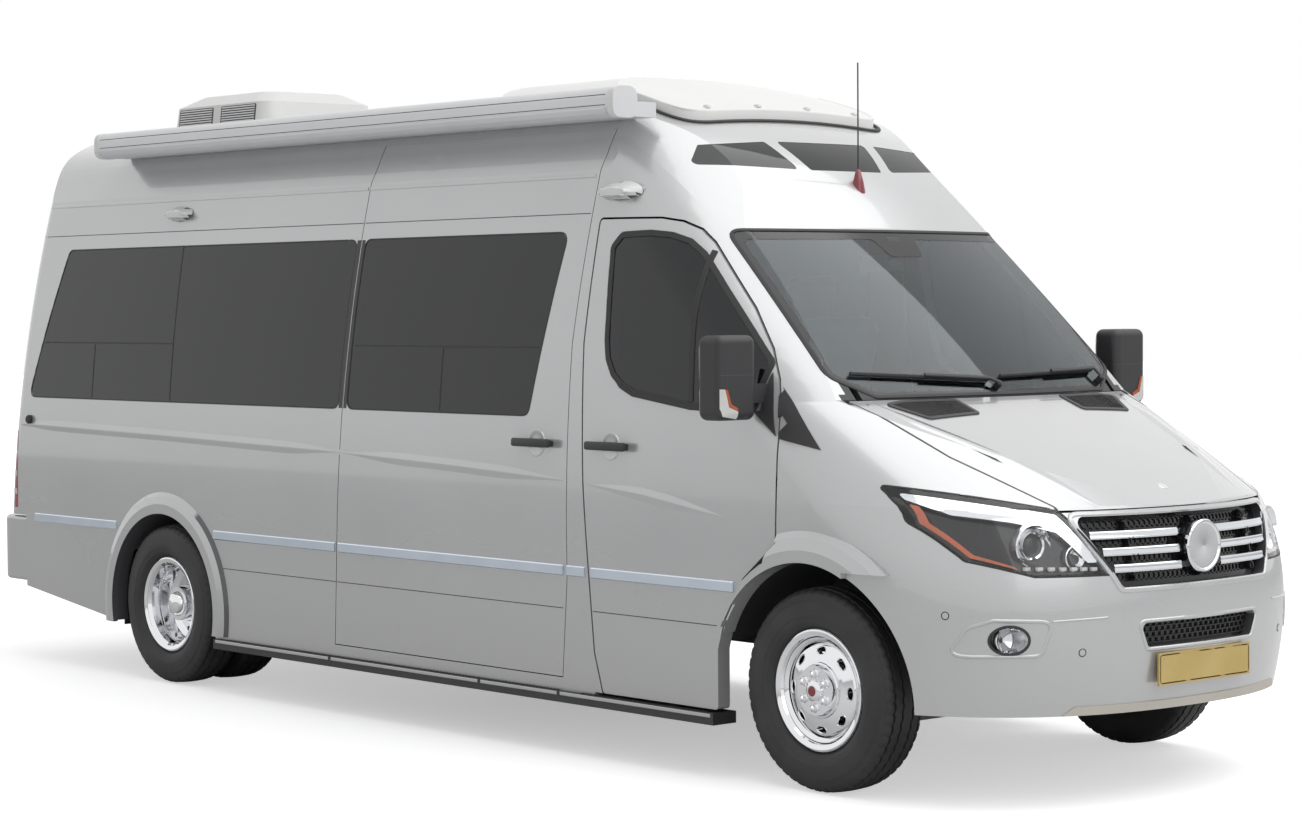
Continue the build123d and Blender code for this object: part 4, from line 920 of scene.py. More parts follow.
def copied(tree, points, thing, paint):
    """Put a thing on every point, make the copies real, give them their finish and hand them out."""
    copies = wire(tree, "GeometryNodeInstanceOnPoints", sockets={"Points": points, "Instance": thing})
    real = wire(tree, "GeometryNodeRealizeInstances", sockets={"Geometry": copies.outputs[0]})
    painted = wire(tree, "GeometryNodeSetMaterial", sockets={"Geometry": real.outputs[0], "Material": paint})
    tree.links.new(painted.outputs[0], tree.nodes.new("NodeGroupOutput").inputs[0])
    return tree


# %% Honeycomb tree
ROW_PITCH = 0.866
CORNER_REACH = 0.577


def honeycomb_tree():
    """Rings on a staggered grid, with inputs for the cell's size, its wall and the grid's counts."""
    tree, given = new_tree("honeycomb", {"Columns": "Int", "Rows": "Int", "Cell": "Float", "Wall": "Float"})
    maths = sums_in(tree)
    wide = maths("MULTIPLY", maths("SUBTRACT", given["Columns"], 1.0), given["Cell"])
    pitch = maths("MULTIPLY", given["Cell"], ROW_PITCH)
    tall = maths("MULTIPLY", maths("SUBTRACT", given["Rows"], 1.0), pitch)
    grid = wire(tree, "GeometryNodeMeshGrid", sockets={
        "Size X": wide, "Size Y": tall, "Vertices X": given["Columns"], "Vertices Y": given["Rows"]})
    place = wire(tree, "GeometryNodeInputPosition").outputs[0]
    parts = wire(tree, "ShaderNodeSeparateXYZ", sockets={0: place})
    row = maths("ROUND", maths("DIVIDE", maths("ADD", parts.outputs["Y"], tall), pitch), 0.0)
    shift = maths("MULTIPLY", maths("MULTIPLY", maths("FLOORED_MODULO", row, 2.0), 0.5), given["Cell"])
    offset = wire(tree, "ShaderNodeCombineXYZ", sockets={"X": shift})
    moved = wire(tree, "GeometryNodeSetPosition", sockets={
        "Geometry": grid.outputs["Mesh"], "Offset": offset.outputs[0]})
    radius = maths("MULTIPLY", given["Cell"], CORNER_REACH)
    hexagon = wire(tree, "GeometryNodeCurvePrimitiveCircle", {"mode": "RADIUS"}, {"Resolution": 6, "Radius": radius})
    bar = wire(tree, "GeometryNodeCurvePrimitiveQuadrilateral", {"mode": "RECTANGLE"},
               {"Width": given["Wall"], "Height": given["Wall"]})
    ring = wire(tree, "GeometryNodeCurveToMesh", sockets={
        "Curve": hexagon.outputs[0], "Profile Curve": bar.outputs[0]})
    turned = wire(tree, "GeometryNodeTransform", sockets={
        "Geometry": ring.outputs[0], "Rotation": (0.0, 0.0, math.radians(30))})
    return copied(tree, moved.outputs[0], turned.outputs[0], given["Finish"])


def grown(tree, values):
    """Run a tree with its named inputs and return the plain mesh's verts and faces."""
    holder = bpy.data.objects.new("grown", bpy.data.meshes.new("grown"))
    bpy.context.scene.collection.objects.link(holder)
    modifier = holder.modifiers.new("grow", "NODES")
    modifier.node_group = tree
    names = {item.name: item.identifier for item in tree.interface.items_tree if item.in_out == "INPUT"}
    for name, value in values.items():
        modifier[names[name]] = value
    graph = bpy.context.evaluated_depsgraph_get()
    mesh = bpy.data.meshes.new_from_object(holder.evaluated_get(graph), depsgraph=graph)
    verts = [v.co.copy() for v in mesh.vertices]
    faces = [tuple(p.vertices) for p in mesh.polygons]
    bpy.data.objects.remove(holder)
    bpy.data.meshes.remove(mesh)
    return verts, faces


honeycomb = honeycomb_tree()
CELL_POINTS = 24
print("honeycomb tree", len(honeycomb.nodes), "nodes")


def comb(outline, place, cell, wall, lift, material):
    """Honeycomb cells laid on the skin within an outline."""
    low = Vector(min(p[axis] for p in outline) for axis in (0, 1))
    high = Vector(max(p[axis] for p in outline) for axis in (0, 1))
    middle = (low + high) / 2
    columns = int((high.x - low.x) / cell) + 2
    rows = int((high.y - low.y) / (cell * ROW_PITCH)) + 2
    verts, faces = grown(honeycomb, {"Columns": columns, "Rows": rows, "Cell": cell, "Wall": wall,
                                     "Finish": finishes[material]})
    result, kept = [], {}
    for start in range(0, len(verts), CELL_POINTS):
        cell_verts = verts[start:start + CELL_POINTS]
        centre = sum(cell_verts, Vector()) / CELL_POINTS
        if not inside((middle.x + centre.x, middle.y + centre.y), outline):
            continue
        hit = place((middle.x + centre.x, middle.y + centre.y))
        if not hit:
            continue
        for i, vert in enumerate(cell_verts):
            spot = place((middle.x + vert.x, middle.y + vert.y)) or hit
            kept[start + i] = len(result)
            result.append(spot[0] + spot[1] * (vert.z + lift))
    return result, [tuple(kept[i] for i in face) for face in faces if all(i in kept for i in face)]


# %% [markdown]
# ## Bonnet
# Two dark vents let air into the heater. The bonnet's middle stands a little above its flanks:
# a soft ridge runs from behind each vent to the grille. A small plain button sits at the front.
# %% Bonnet vents and ridges
on_bonnet = from_above(("bonnet",))
vent = [(at(205), -0.300), (at(92), -0.300), (at(62), -0.560), (at(70), -0.640), (at(205), -0.560)]
vents = [rounded(vent, 0.012), rounded([(x, -y) for x, y in reversed(vent)], 0.012)]
panel("bonnet_vents", vents, on_bonnet, -0.004, 0.0015, "black_plastic", "bonnet", step=0.03)
combs = [comb(outline, on_bonnet, 0.0125, 0.0022, 0.0022, "black_plastic") for outline in vents]
piece("bonnet_vent_mesh", *joined(combs), "black_plastic", "bonnet", slot="black_plastic")
band("bonnet_vent_frames", vents, on_bonnet, rounded_strip(0.020, -0.001, 0.0050, 0.002), "black_plastic", "bonnet",
     closed=True, step=0.02)
crease = [(at(40), -0.690), (at(250), -0.640), (at(500), -0.545), (at(760), -0.455), (at(880), -0.420)]
swell = [(-0.040, -0.0005), (0.034, -0.0005), (0.016, 0.0030), (0.004, 0.0056), (-0.004, 0.0054), (-0.018, 0.0026)]
band("bonnet_ridges", [crease, [(x, -y) for x, y in crease]], on_bonnet, swell, "paint", "bonnet", step=0.03,
     taper=0.25)
spot, normal = on_bonnet((at(828), 0.0))
lathe("bonnet_button", [spun(disc_profile(0.021, -0.001, 0.0022, 0.001), spot, normal, 32)], "chrome_rim", "bonnet")

# %% [markdown]
# ## Grille
# Three chrome slats cross a dark honeycomb, broken in the middle by a plain round disc. Each slat
# is a band over the solid one, with a folded front edge that catches two lines of light.
# %% Grille
nodes["grille"].data.materials[0] = finishes["gloss_black"]
on_grille = from_front(("grille",))
slat = [(-0.013, -0.019), (0.013, -0.019), (0.014, 0.0005), (0.009, 0.0034), (0.0015, 0.0018), (-0.0015, 0.0018),
        (-0.009, 0.0036), (-0.014, 0.0005)]


def slat_reach(z):
    """How far the grille's opening reaches to the side at one height."""
    return 0.400 + 0.145 * (z - 0.778) / 0.250 - 0.016


slat_paths = []
for z in (0.845, 0.903, 0.961):
    reach = slat_reach(z)
    inner = 0.112 if z != 0.961 else 0.104
    slat_paths += [[(-reach, z), (-inner, z)], [(inner, z), (reach, z)]]
band("grille_slats", slat_paths, on_grille, slat, "grille_chrome", "van_body", step=0.02)

# %% Honeycomb, disc and surround
opening = rounded(millimetres([(-545, 1028), (-400, 778), (400, 778), (545, 1028)]), 0.030)
mesh_only = [comb(zone, on_grille, 0.024, 0.004, 0.003, "gloss_black") for zone in (
    rounded([(-0.470, 0.985), (-0.455, 0.978), (0.455, 0.978), (0.470, 0.985), (0.485, 1.012), (-0.485, 1.012)], 0.002),
    [(-0.460, 0.950), (-0.435, 0.920), (-0.125, 0.920), (-0.125, 0.950)],
    [(0.125, 0.950), (0.125, 0.920), (0.435, 0.920), (0.460, 0.950)],
    [(-0.425, 0.890), (-0.405, 0.862), (-0.125, 0.862), (-0.125, 0.890)],
    [(0.125, 0.890), (0.125, 0.862), (0.405, 0.862), (0.425, 0.890)],
    [(-0.395, 0.828), (-0.375, 0.795), (0.375, 0.795), (0.395, 0.828)])]
piece("grille_mesh", *joined(mesh_only), "gloss_black", "van_body", slot="black_plastic")
disc = [(-0.012, TIP), (-0.010, 0.084), (-0.010, 0.095), (0.006, 0.096), (0.0115, 0.092), (0.0115, 0.086),
        (0.007, 0.080), (0.006, 0.030), (0.0075, TIP)]
lathe("grille_disc", [spun(disc, (at(1008), 0, 0.905), (1, 0, 0), 72)], "chrome_rim", "van_body")
bumper_front = from_front(("front_bumper",))
lip_path = [(y * 1.028, 0.903 + (z - 0.903) * 1.075) for y, z in opening]
lip_section = [(-0.011, -0.001), (0.011, -0.001), (0.006, 0.0045), (-0.006, 0.0045)]
band("grille_surround", [lip_path], bumper_front, lip_section, "paint", "van_body", closed=True, step=0.02)
print("grille slats", len(slat_paths))

# %% [markdown]
# ## Front bumper
# Low in the bumper are a slot with a brick-like mesh, two fog lamps in triangular pockets, small
# round parking sensors, a blank plate on two fasteners and a pale lip along the bottom edge.
# %% Lower mesh
slot_hole = rounded(millimetres([(-330, 650), (-290, 562), (290, 562), (330, 650)]), 0.020)
bars = []
for row, z in enumerate((0.575, 0.594, 0.613, 0.632, 0.646)):
    reach = 0.285 + 0.04 * (z - 0.562) / 0.088
    bars.append(sweep(laid(dense([(-reach, z), (reach, z)], 0.03, closed=False), on_grille, 0.002),
                      rounded_strip(0.0045, -0.004, 0.006, 0.001)))
    for i in range(-9, 10):
        y = (i + 0.5 * (row % 2)) * 0.030
        if abs(y) < reach - 0.01 and row < 4:
            spot = drop(("grille",), (6, y, z + 0.0095), (-1, 0, 0))
            if spot:
                bars.append(soft_box(spot[0] + spot[1] * 0.003, (0.005, 0.0022, 0.0085), 0.001, segments=1))
piece("lower_mesh", *joined(bars), "black_plastic", "van_body")
slot_lip = [(y * 1.03, 0.606 + (z - 0.606) * 1.16) for y, z in slot_hole]
band("slot_lip", [slot_lip], bumper_front, [(-0.008, -0.001), (0.008, -0.001), (0.003, 0.004), (-0.004, 0.0035)],
     "paint", "van_body", closed=True, step=0.02)

# %% Fog lamps and parking sensors
FOG_OUT, FOG_HEIGHT = 0.775, 0.607
fog_rings, fog_bowls, fog_frames, sensors, sensor_rings = [], [], [], [], []
pocket = [(-0.905, 0.548), (-0.868, 0.650), (-0.815, 0.676), (-0.660, 0.672), (-0.690, 0.552)]
for side in (RIGHT, LEFT):
    outline = rounded([(side * -y, z) for y, z in pocket], 0.03)
    fog_frames.append(sweep(laid(dense(outline, 0.015), bumper_front), [
        (-0.008, -0.001), (0.008, -0.001), (0.003, 0.0048), (-0.003, 0.0048)], closed=True))
    tail = [(side * 0.66, 0.672), (side * 0.56, 0.676), (side * 0.47, 0.679)]
    fog_frames.append(sweep(laid(dense(tail, 0.02, closed=False), bumper_front), [
        (-0.005, -0.001), (0.005, -0.001), (0.001, 0.003), (-0.001, 0.003)]))
    spot, _ = drop(("small_lamps",), (6, side * FOG_OUT, FOG_HEIGHT), (-1, 0, 0))
    forward = Vector((1, 0, 0))
    fog_bowls.append(spun([(0.0, 0.010), (0.0, 0.040), (0.018, 0.044), (0.018, 0.040), (0.006, 0.026)],
                          spot - forward * 0.030, forward, 36))
    loop = arc((side * FOG_OUT, FOG_HEIGHT), 0.049, 0.049, 0, 360, 40)[:-1]
    fog_rings.append(sweep(laid(loop, bumper_front), rounded_strip(0.010, -0.006, 0.003, 0.002), closed=True))
    for y, z in ((0.560, 0.560), (0.905, 0.690)):
        found = bumper_front((side * y, z))
        if found:
            sensors.append(spun(disc_profile(0.0115, -0.001, 0.0014, 0.0006), *found, 24))
            sensor_rings.append(spun(ring_profile(0.0118, 0.0150, -0.001, 0.0010), *found, 24))
piece("fog_pockets", *joined(fog_frames), "paint", "van_body")
piece("fog_bowls", *joined(fog_bowls), "chrome_rim", "van_body")
piece("fog_rings", *joined(fog_rings), "black_plastic", "van_body")
piece("parking_sensors", *joined(sensors), "paint", "van_body")
piece("sensor_rings", *joined(sensor_rings), "seal_rubber", "van_body")
print("fog lamps", len(fog_bowls))

# %% Plate and lip
plate_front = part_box("number_plate")[1].x
rim = rounded([(-0.252, 0.432), (0.252, 0.432), (0.252, 0.532), (-0.252, 0.532)], 0.010)
on_plate = from_front(("number_plate",))
band("plate_rim", [rim], on_plate, [(-0.003, -0.0045), (0.003, -0.0045), (0.002, 0.0), (-0.002, 0.0)], "plate_brass",
     "van_body", closed=True)
fasteners = [spun(disc_profile(0.010, -0.004, 0.0, 0.0015), (plate_front - 0.0002, y, 0.505), (1, 0, 0), 24)
             for y in (-0.150, 0.150)]
lathe("plate_fasteners", fasteners, "steel", "van_body")
panel("chin_lip", [[(-0.600, 0.3365), (0.600, 0.3365), (0.560, 0.368), (-0.560, 0.368)]], bumper_front, -0.001, 0.005,
      "lip_plastic", "van_body", step=0.04)
print("nose done")

# %% [markdown]
# ## Tyres
# A road tyre has four grooves round it that wander a little from side to side, notched shoulders
# and fine rings on its sidewalls. The section is turned about the axle in small steps: at each
# step the groove edges are shifted to make the zigzag, and the shoulders sink where a notch is.
# %% Tyres
HALF_TYRE = [
    (0.0727, 0.2043, 0), (0.0727, 0.2262, 0), (0.0930, 0.2400, 0), (0.0990, 0.2490, 0), (0.1002, 0.2496, 0),
    (0.1040, 0.2630, 0), (0.1052, 0.2700, 0), (0.1066, 0.2712, 0), (0.1069, 0.2750, 0), (0.1070, 0.2900, 0),
    (0.1052, 0.3080, 0), (0.1030, 0.3240, 0), (0.1022, 0.3250, 0), (0.0990, 0.3340, 0), (0.0935, 0.3510, 0),
    (0.0930, 0.3530, 2), (0.0870, 0.3620, 2), (0.0785, 0.3682, 2), (0.0690, 0.3712, 2), (0.0670, 0.3640, 1),
    (0.0615, 0.3632, 1), (0.0595, 0.3722, 1), (0.0300, 0.3742, 1), (0.0282, 0.3650, 1), (0.0220, 0.3650, 1),
    (0.0200, 0.3746, 1), (0.0000, 0.3750, 0)]
TYRE_STEPS = 216


def tyre(middle_y, axle_x):
    """A tyre on its middle plane, as verts and faces."""
    section = [(-out, radius, kind) for out, radius, kind in HALF_TYRE] + HALF_TYRE[-2::-1]
    verts, faces = [], []
    ring = len(section)
    for step in range(TYRE_STEPS):
        turn = 2 * math.pi * step / TYRE_STEPS
        zigzag = 0.0022 * (1 if step % 4 < 2 else -1)
        notch = 0.0045 if step % 4 == 3 else 0.0
        for out, radius, kind in section:
            out += zigzag if kind == 1 else 0
            radius -= notch if kind == 2 else 0
            verts.append(Vector((axle_x + radius * math.sin(turn), middle_y + out,
                                 AXLE_HEIGHT + radius * math.cos(turn))))
        a, b = step * ring, (step + 1) % TYRE_STEPS * ring
        faces += [(a + j, a + (j + 1) % ring, b + (j + 1) % ring, b + j) for j in range(ring)]
    return verts, faces


for side in (RIGHT, LEFT):
    word = WORD[side]
    single = tyre(side * FRONT_WHEEL, FRONT_AXLE)
    made = piece(f"road_tyre_front_{word}", *single, "tyre_rubber", f"front_wheel_{word}", 28)
    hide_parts(f"front_tyre_{word}")
    pair = joined([tyre(side * out, REAR_AXLE) for out in (REAR_OUTER_WHEEL, REAR_INNER_WHEEL)])
    made = piece(f"road_tyres_rear_{word}", *pair, "tyre_rubber", f"rear_wheels_{word}", 28)
    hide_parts(f"rear_tyres_{word}")
print("tyres", len(made.data.polygons), "faces a pair")

# %% [markdown]
# ## Nuts grown round a hub
# Wheel nuts repeat on a circle: a tree puts one six-sided nut with its round seat on each point.
# The tree works flat about Z, and the result is turned to stand on the wheel's face.
# %% Nut tree
def nut_tree():
    """Nuts on a circle, with inputs for their number, the circle and the nut's size."""
    tree, given = new_tree("wheel_nuts", {"Count": "Int", "Circle": "Float", "Size": "Float", "Height": "Float"})
    maths = sums_in(tree)
    points = wire(tree, "GeometryNodeMeshCircle", sockets={"Vertices": given["Count"], "Radius": given["Circle"]})
    size, height = given["Size"], given["Height"]
    hexagon = wire(tree, "GeometryNodeMeshCylinder", sockets={"Vertices": 6, "Radius": size, "Depth": height})
    cap = wire(tree, "GeometryNodeMeshCone", sockets={
        "Vertices": 24, "Radius Top": maths("MULTIPLY", size, 0.55), "Radius Bottom": maths("MULTIPLY", size, 0.84),
        "Depth": maths("MULTIPLY", height, 0.30)})
    seat = wire(tree, "GeometryNodeMeshCone", sockets={
        "Vertices": 24, "Radius Top": maths("MULTIPLY", size, 1.05), "Radius Bottom": maths("MULTIPLY", size, 1.35),
        "Depth": maths("MULTIPLY", height, 0.25)})
    lift = wire(tree, "ShaderNodeCombineXYZ", sockets={"Z": maths("MULTIPLY", height, 0.5)})
    up = wire(tree, "GeometryNodeTransform", sockets={"Geometry": hexagon.outputs[0], "Translation": lift.outputs[0]})
    top = wire(tree, "ShaderNodeCombineXYZ", sockets={"Z": height})
    capped = wire(tree, "GeometryNodeTransform", sockets={"Geometry": cap.outputs[0], "Translation": top.outputs[0]})
    nut = wire(tree, "GeometryNodeJoinGeometry")
    for part in (up, capped, seat):
        tree.links.new(part.outputs[0], nut.inputs[0])
    return copied(tree, points.outputs[0], nut.outputs[0], given["Finish"])


nuts = nut_tree()
print("nut tree", len(nuts.nodes), "nodes")


def nuts_on(centre, side, count, circle, size, height):
    """Nuts on a wheel's face, looking outwards."""
    verts, faces = grown(nuts, {"Count": count, "Circle": circle, "Size": size, "Height": height,
                                "Finish": finishes["chrome_rim"]})
    turn = Vector((0, side, 0)).to_track_quat("Z", "X").to_matrix()
    return [turn @ v + Vector(centre) for v in verts], faces


# %% [markdown]
# ## Bright wheels
# The front wheel wears a trim ring at its rim, a raised hub with six nuts, dark oval holes and a
# small dark red cap. The rear wheel is a deep dish: its nuts and holes sit far in, and each hole is
# a dark disc of painted shade.
# %% Front wheel
BEAD = [(0.080, 0.198), (0.080, 0.2225), (0.0845, 0.2215), (0.0865, 0.216), (0.0845, 0.209), (0.0815, 0.203)]
inner = [(0.056, 0.176), (0.058, 0.186), (0.066, 0.192), (0.070, 0.188), (0.066, 0.180), (0.060, 0.174)]
crown = [(0.097, 0.028), (0.097, 0.040), (0.106, 0.038), (0.112, 0.030), (0.114, 0.021), (0.113, TIP), (0.097, TIP)]
step = [(0.0735, 0.094), (0.0735, 0.104), (0.079, 0.102), (0.081, 0.097), (0.079, 0.093)]
oval = arc((0.145, 0), 0.013804, 0.0253, 0, 360, 24)[:-1]


def dress_front(side):
    """Trim rings, hub cap, nuts and rimmed holes of one front wheel."""
    word, axis, body = WORD[side], (0, side, 0), f"front_wheel_{WORD[side]}"
    hub = (FRONT_AXLE, side * FRONT_WHEEL, AXLE_HEIGHT)
    face = (FRONT_AXLE, side * (FRONT_WHEEL + 0.0975), AXLE_HEIGHT)
    lathe(f"front_wheel_trim_{word}", [spun(p, hub, axis, 96) for p in (BEAD, inner, crown, step)], "chrome_rim", body)
    lathe(f"front_hub_cap_{word}", [spun(disc_profile(0.019, 0.112, 0.1165, 0.002), hub, axis, 32)], "hub_red", body)
    piece(f"front_wheel_nuts_{word}", *nuts_on(face, side, 6, 0.062, 0.0135, 0.018), "chrome_rim", body)
    rims = []
    wheel_face = from_side((f"front_rim_{word}",), side)
    for turn in [2 * math.pi * i / 8 for i in range(8)]:
        spots = [wheel_face((FRONT_AXLE + radial * math.cos(turn) - across * math.sin(turn),
                             AXLE_HEIGHT + radial * math.sin(turn) + across * math.cos(turn)))
                 for radial, across in oval]
        if all(spots):
            rims.append(sweep(spots, [(-0.003, -0.002), (0.003, -0.002), (0.0, 0.0022)], closed=True))
    if rims:
        piece(f"front_wheel_hole_rims_{word}", *joined(rims), "chrome_rim", body)


# %% Rear wheel
dish_ring = [(0.012, 0.1815), (0.020, 0.186), (0.030, 0.1865), (0.030, 0.183), (0.020, 0.1795)]
cover = [(0.035, 0.0325), (0.035, 0.060), (0.046, 0.057), (0.060, 0.047), (0.066, 0.030), (0.068, TIP), (0.035, TIP)]


def dress_rear(side):
    """Trim rings, hub cover, nuts and dark discs of painted shade in the holes of one rear wheel."""
    word, axis, body = WORD[side], (0, side, 0), f"rear_wheels_{WORD[side]}"
    dish = (REAR_AXLE, side * REAR_OUTER_WHEEL, AXLE_HEIGHT)
    face = (REAR_AXLE, side * (REAR_OUTER_WHEEL - 0.0605), AXLE_HEIGHT)
    lathe(f"rear_wheel_trim_{word}", [spun(p, dish, axis, 96) for p in (BEAD, dish_ring, cover)], "chrome_rim", body)
    piece(f"rear_wheel_nuts_{word}", *nuts_on(face, side, 6, 0.116, 0.0135, 0.020), "chrome_rim", body)
    # Each hole is a thin dark disc on the wheel face: painted shade where one would look into the wheel.
    ovals = []
    for turn in [2 * math.pi * (i + 0.5) / 8 for i in range(8)]:
        centre = Vector((REAR_AXLE + 0.141 * math.cos(turn), side * (REAR_OUTER_WHEEL - 0.0585),
                         AXLE_HEIGHT + 0.141 * math.sin(turn)))
        ovals.append(spun([(-0.002, TIP), (-0.002, 0.0125), (0.0016, 0.0115), (0.0016, TIP)], centre, axis, 20))
    lathe(f"rear_wheel_hole_shade_{word}", ovals, "gloss_black", body)


for side in (RIGHT, LEFT):
    dress_front(side)
    dress_rear(side)
print("wheels done")

# %% [markdown]
# ## Rows of ribs
# The grip ribs on the side steps are rows of equal bars. One tree makes a row: a line of points,
# and on each a bar whose top is narrower than its foot.
# %% Row tree
def row_tree():
    """Bars in a row along X, with inputs for their number, spacing and size."""
    tree, given = new_tree("row_of_bars", {"Count": "Int", "Spacing": "Float", "Length": "Float", "Width": "Float",
                                           "Height": "Float"})
    maths = sums_in(tree)
    step = wire(tree, "ShaderNodeCombineXYZ", sockets={"X": given["Spacing"]})
    line = wire(tree, "GeometryNodeMeshLine", {"mode": "OFFSET"}, {"Count": given["Count"], "Offset": step.outputs[0]})
    profile = wire(tree, "GeometryNodeCurvePrimitiveQuadrilateral", {"mode": "TRAPEZOID"}, {
        "Bottom Width": given["Width"], "Top Width": maths("MULTIPLY", given["Width"], 0.55), "Offset": 0.0,
        "Height": given["Height"]})
    start = wire(tree, "ShaderNodeCombineXYZ", sockets={"Y": maths("MULTIPLY", given["Length"], -0.5)})
    end = wire(tree, "ShaderNodeCombineXYZ", sockets={"Y": maths("MULTIPLY", given["Length"], 0.5)})
    course = wire(tree, "GeometryNodeCurvePrimitiveLine", {"mode": "POINTS"}, {
        "Start": start.outputs[0], "End": end.outputs[0]})
    bar = wire(tree, "GeometryNodeCurveToMesh", sockets={
        "Curve": course.outputs[0], "Profile Curve": profile.outputs[0], "Fill Caps": True})
    return copied(tree, line.outputs[0], bar.outputs[0], given["Finish"])


rows = row_tree()
print("row tree", len(rows.nodes), "nodes")


def row(count, spacing, length, width, height, material, origin):
    """A row of bars, moved into place."""
    verts, faces = grown(rows, {"Count": count, "Spacing": spacing, "Length": length, "Width": width,
                                "Height": height, "Finish": finishes[material]})
    return [v + Vector(origin) for v in verts], faces


# %% [markdown]
# ## Side steps
# The sills carry narrow black steps. Cross ribs keep feet from slipping, and a pale sill trim
# closes the top of each step against the body.
# %% Side steps
ribs = []
for side in (RIGHT, LEFT):
    for start, count in ((-3780, 52), (-2660, 58), (-1250, 34)):
        ribs.append(row(count, 0.022, 0.022, 0.010, 0.004, "black_plastic", (at(start), side * 1.005, 0.2505)))
piece("step_ribs", *joined(ribs), "black_plastic", "van_body")
for side in (RIGHT, LEFT):
    edge = from_side(("running_boards",), side)
    runs = [(-3860, -2960), (-2940, -1900), (-1880, -1390), (-1370, -490)]
    band(f"step_edges_{WORD[side]}", [alongside([(a, 240), (b, 240)]) for a, b in runs], edge,
         rounded_strip(0.014, -0.001, 0.003, 0.002), "paint", "van_body", step=0.3)

# %% [markdown]
# ## Awning
# The rolled awning lives in a long round case. Its lead rail shows as a lip along the lower edge,
# two joint lines run above it, and moulded caps close both ends.
# %% Awning
on_awning = from_side(("awning",), RIGHT)
band("awning_lead_rail", [alongside([(-4960, 2538), (-1160, 2538)])], on_awning,
     [(-0.014, -0.001), (0.014, -0.001), (0.012, 0.0035), (-0.006, 0.006), (-0.013, 0.003)], "awning_case", "van_body",
     step=0.3)
band("awning_joint", [alongside([(-4960, z), (-1160, z)]) for z in (2560, 2600)], on_awning,
     flat_strip(0.003, -0.001, 0.0005), "seam_shadow", "van_body", step=0.3)
low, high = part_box("awning")
caps = []
for x0, x1 in ((high.x - 0.036, high.x - 0.0005), (low.x + 0.0005, low.x + 0.036)):
    ring = rounded(rectangle(-0.942, 2.511, -0.818, 2.633), 0.044, steps=8)
    outer = [Vector((0, -0.880 + (y + 0.880) * 1.025, 2.572 + (z - 2.572) * 1.02)) for y, z in ring]
    verts = [Vector((x, p.y, min(p.z, 2.6345))) for x in (x0, x1) for p in outer]
    count = len(outer)
    faces = [tuple(range(count)), tuple(range(count, 2 * count))]
    faces += [(i, (i + 1) % count, count + (i + 1) % count, count + i) for i in range(count)]
    caps.append((verts, faces))
piece("awning_caps", *joined(caps), "white_plastic", "van_body")

# %% [markdown]
# ## Roof unit, fairing and antenna
# The cooling unit has a lid with a seam and louvred sides. The fairing over the cab has a soft
# edge, stands on rubber and is held by small clips. A boot covers the foot of the antenna.
# %% Cooling unit
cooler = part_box("air_conditioner")
middle_x = (cooler[0].x + cooler[1].x) / 2
on_cooler = {side: from_side(("air_conditioner",), side) for side in (RIGHT, LEFT)}
louvres = []
for side in (RIGHT, LEFT):
    for i in range(7):
        z = 2.700 + 0.012 * i
        for a, b in ((-0.335, -0.045), (0.045, 0.335)):
            path = laid(dense([(middle_x + a, z), (middle_x + b, z)], 0.05, closed=False), on_cooler[side])
            louvres.append(sweep(path, [(-0.0035, -0.002), (0.0035, -0.002), (0.002, 0.0035), (-0.0035, 0.002)]))
piece("cooler_louvres", *joined(louvres), "white_plastic", "van_body")
for side in (RIGHT, LEFT):
    zones = [rounded(rectangle(middle_x + a, 2.694, middle_x + b, 2.780), 0.008)
             for a, b in ((-0.345, -0.035), (0.035, 0.345))]
    panel(f"cooler_vents_{WORD[side]}", zones, on_cooler[side], -0.001, 0.0008, "black_plastic", "van_body")
over_cooler = from_above(("air_conditioner",))
lid = rounded(rectangle(middle_x - 0.30, -0.215, middle_x + 0.30, 0.215), 0.07)
band("cooler_lid_seam", [lid], over_cooler, flat_strip(0.004, -0.002, 0.0), "seam_shadow", "van_body", closed=True)
print("cooling unit done")

# %% Fairing and antenna
edge = rounded(rectangle(at(-2328), -0.578, at(-1112), 0.578), 0.150, steps=8)
band("fairing_edge", [edge], from_above(("roof_fairing",)), rounded_strip(0.016, -0.004, 0.002, 0.0015),
     "white_plastic", "van_body", closed=True, step=0.04)
foot = rounded(rectangle(at(-2350), -0.600, at(-1090), 0.600), 0.165, steps=8)
band("fairing_rubber", [foot], from_above(("roof", "body_side_right", "body_side_left")),
     rounded_strip(0.018, -0.004, 0.008, 0.003), "seal_rubber", "van_body", closed=True, step=0.04)
clips = []
over_fairing = from_above(("roof_fairing",))
for y in (-0.42, -0.14, 0.14, 0.42):
    spot = over_fairing((at(-1140), y))
    if spot:
        clips.append(soft_box(spot[0] + spot[1] * 0.004, (0.014, 0.011, 0.007), 0.004))
if clips:
    piece("fairing_clips", *joined(clips), "white_plastic", "van_body")
boot = [(-0.030, TIP), (-0.030, 0.034), (0.0, 0.031), (0.050, 0.022), (0.094, 0.0105), (0.100, 0.0045), (0.100, TIP)]
lathe("antenna_boot", [spun(boot, (at(-705), 0, 2.214), (0, 0, 1), 32)], "hub_red", "van_body")

